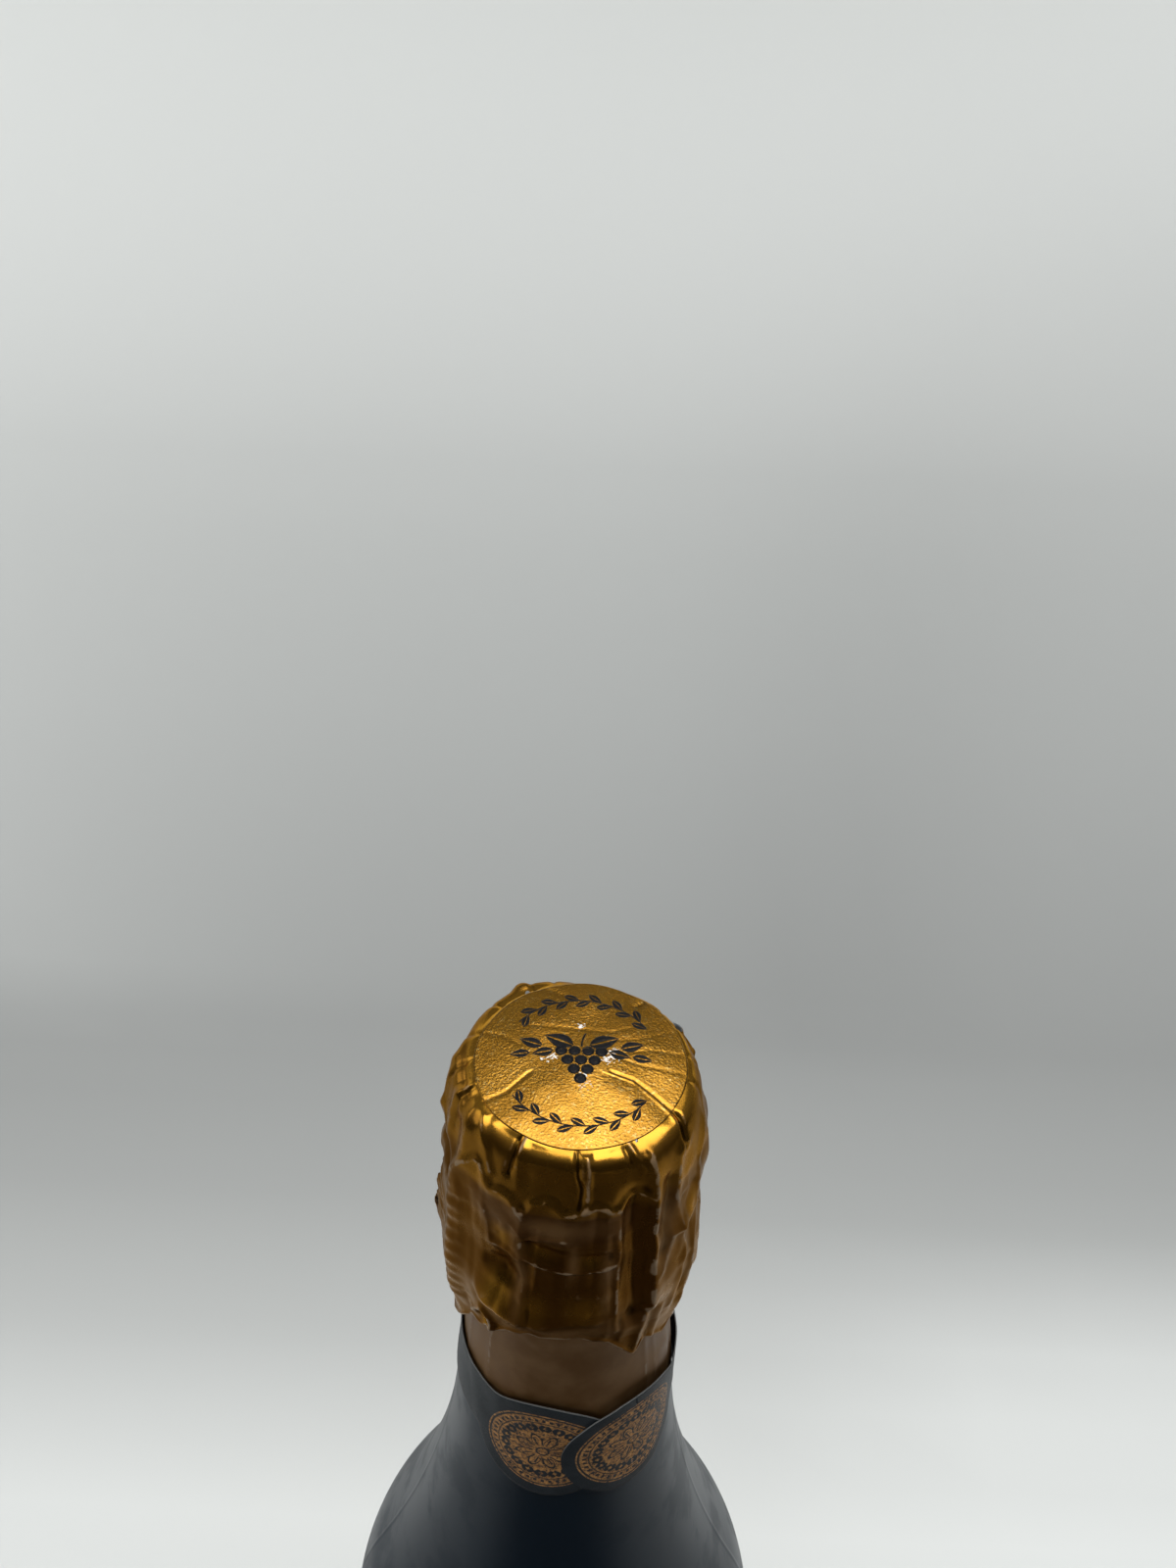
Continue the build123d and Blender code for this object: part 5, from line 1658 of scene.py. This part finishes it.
def buildCork():
    c = cork
    shaft, edge = c["shaft"], c["round"]
    low = c["low"] + 2 * c["disc"] + c["glue"]
    foot, waist, shoulder = (np.array(p) for p in ((c["footRadius"], c["foot"]), c["waist"], c["shoulder"]))
    share = np.linspace(0, 1, 15)[1:, None]
    bulge = 2 * waist - (foot + shoulder) / 2
    curve = (1 - share) ** 2 * shoulder + 2 * share * (1 - share) * bulge + share ** 2 * foot
    (topRadius, top), (roundIn, roundDown) = c["top"], c["topRound"]
    line = [(0, top), (topRadius - roundIn, top), (topRadius, top - roundDown), c["shoulder"]]
    line += [tuple(point) for point in curve]
    line += [(shaft, c["foot"]), (shaft, low + edge - c["glue"]), (shaft - edge, low), (0, low)]
    corkPiece("corkBody", line, agglomeratedCork, c["pit"], "cork_body")
    for name, node, low in (("corkDiscUpper", "cork_disc_upper", c["low"] + c["disc"]),
                            ("corkDiscLower", "cork_disc_lower", c["low"])):
        high = low + c["disc"] - c["glue"]
        line = [(0, high), (shaft - edge, high), (shaft, high - edge), (shaft, low + c["discRound"][1]),
                (shaft - c["discRound"][0], low), (0, low)]
        corkPiece(name, line, naturalCork, c["discPit"], node)


buildCork()


# Cap between the cork and the wire

cap = {
    "flange": 317.4, "step": 0.6, "columns": 180,
    # radius and height over the flange: down the outside to the lip, and back up the inside
    "outline": ((0, 1.5), (4.0, 1.5), (4.3, 1.38), (4.9, 1.38), (5.2, 1.5), (10.5, 1.5), (10.9, 1.45),
                (11.3, 1.2), (11.9, 0.35), (12.15, 0.08), (12.4, 0.0), (14.2, 0.0), (14.58, -0.12),
                (14.7, -0.5), (14.7, -1.8), (14.4, -1.8), (14.4, -0.3), (11.9, -0.3), (11.1, 1.2), (0, 1.2)),
    # edges where the lacquer is rubbed: radius, height over the flange, reach, amount
    "rubbed": ((14.7, 0.0, 0.7, 0.9), (11.4, 1.5, 0.8, 0.7)),
}


def buildCap():
    line = [(radius, cap["flange"] + height) for radius, height in cap["outline"]]
    radius, height = np.array(filled(line, cap["step"])).T
    ridge = np.zeros(len(radius))
    for edge, over, reach, amount in cap["rubbed"]:
        near = np.hypot(radius - edge, height - cap["flange"] - over) < reach
        ridge = np.maximum(ridge, np.where(near, amount, 0.0))
    piece = turnedPiece("cap", line, lacqueredCap, cap["step"], cap["columns"], ridge=ridge[:, None])
    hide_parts("muselet_plaque")
    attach(piece, "muselet")


# Cage, belt and loop

cage = {
    "wire": 0.6, "crownRadius": 12.9, "crownHeight": 318.1, "crownWave": 0.03,
    "beltRadius": 15.02, "beltHeight": 284.78, "sides": 12,
    "strand": 0.475, "strandAway": 0.46, "pitch": 6.0, "legRadius": 16.95, "legTop": 318.45,
    "footHeight": 283.13, "footReach": 15.32, "legStart": 13.45, "shoulderBend": 2.4, "footBend": 1.5,
    "legAngles": (32.0, 122.0, 212.0, 302.0),
}
loop = {"angle": -100.0, "leanDeg": 8.0, "shank": 6.5, "eye": 3.5, "wire": 0.5, "join": 0.2}


def turnedAbout(points, angleDeg):
    # places drawn towards the front (-Y), turned about the bottle's axis
    angle = math.radians(angleDeg)
    x, y, z = np.moveaxis(np.asarray(points, float), -1, 0)
    return np.stack([x * math.cos(angle) - y * math.sin(angle),
                     x * math.sin(angle) + y * math.cos(angle), z], -1)


def strands(line, phase=0.0):
    # the two wires of the cage twisted round a line of places
    line = np.asarray(line, float)
    walked = np.concatenate([[0], np.cumsum(np.linalg.norm(np.diff(line, axis=0), axis=1))])
    way = np.gradient(line, axis=0)
    way /= np.linalg.norm(way, axis=1, keepdims=True)
    side = np.broadcast_to((1.0, 0.0, 0.0), line.shape)
    up = np.cross(way, side)
    turn = (walked / cage["pitch"] * 2 * math.pi + phase)[:, None]
    offset = cage["strandAway"] * (np.cos(turn) * side + np.sin(turn) * up)
    return [tube(line + offset, cage["strand"]), tube(line - offset, cage["strand"])]


def rounded(corners, bends, step=0.3):
    # a line of places through corners in one plane, rounded off
    corners = [np.array(corner, float) for corner in corners]
    line = [corners[0]]
    for before, corner, after, bend in zip(corners, corners[1:], corners[2:], bends):
        into = (before - corner) / np.linalg.norm(before - corner)
        out = (after - corner) / np.linalg.norm(after - corner)
        share = np.linspace(0, math.pi / 2, 9)[:, None]
        centre = corner + bend * (into + out)
        line += list(centre - bend * (out * np.cos(share) + into * np.sin(share)))
    line.append(corners[-1])
    result = [line[0]]
    for first, second in zip(line, line[1:]):
        parts = max(1, math.ceil(np.linalg.norm(second - first) / step))
        result += [first + (second - first) * n / parts for n in range(1, parts + 1)]
    return np.array(result)


def wireRing(radius, height, wave=0.0, count=240):
    # a ring of wire round the bottle, a little out of round where wave is given
    angle = np.arange(count) * 360 / count
    line = around(radius + wave * np.sin(np.radians(angle * 4 + 40)), angle, height)
    return tube(line, cage["wire"], cage["sides"], closed=True), True


def buildCage():
    g = cage
    corners = [(0, -g["legStart"], g["legTop"]), (0, -g["legRadius"], g["legTop"]),
               (0, -g["legRadius"], g["footHeight"]), (0, -g["footReach"], g["footHeight"])]
    leg = rounded(corners, (g["shoulderBend"], g["footBend"]))
    grids = [wireRing(g["crownRadius"], g["crownHeight"], g["crownWave"])]
    for number, angle in enumerate(g["legAngles"]):
        grids += [(turnedAbout(strand, angle), True) for strand in strands(leg, number)]
    piece = joinGrids("wireCage", grids, galvanisedWire)
    belt = joinGrids("beltWire", [wireRing(g["beltRadius"], g["beltHeight"])], galvanisedWire)
    for item, node in ((piece, "wire_cage"), (belt, "belt_wire")):
        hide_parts(node)
        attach(item, "muselet")


def buildLoop():
    shank = np.linspace((0, 0, 0), (0, 0, loop["shank"] + loop["join"]), 40)
    turn = np.radians(np.arange(72) * 5 - 90)
    eye = loop["eye"] * np.stack([np.cos(turn), 0 * turn, 1 + np.sin(turn)], -1) + (0, 0, loop["shank"])
    lean = math.radians(loop["leanDeg"])
    placed = []
    for grid in (*strands(shank), tube(eye, loop["wire"], cage["sides"], closed=True)):
        x, y, z = np.moveaxis(grid, -1, 0)
        leaned = np.stack([x, y * math.cos(lean) - z * math.sin(lean) - cage["legRadius"],
                           y * math.sin(lean) + z * math.cos(lean) + cage["beltHeight"]], -1)
        placed.append((turnedAbout(leaned, loop["angle"]), True))
    piece = joinGrids("beltLoop", placed, galvanisedWire)
    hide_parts("belt_loop")
    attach(piece, "loop")


buildCap()
buildCage()
buildLoop()
print("cork, cap and cage ready")
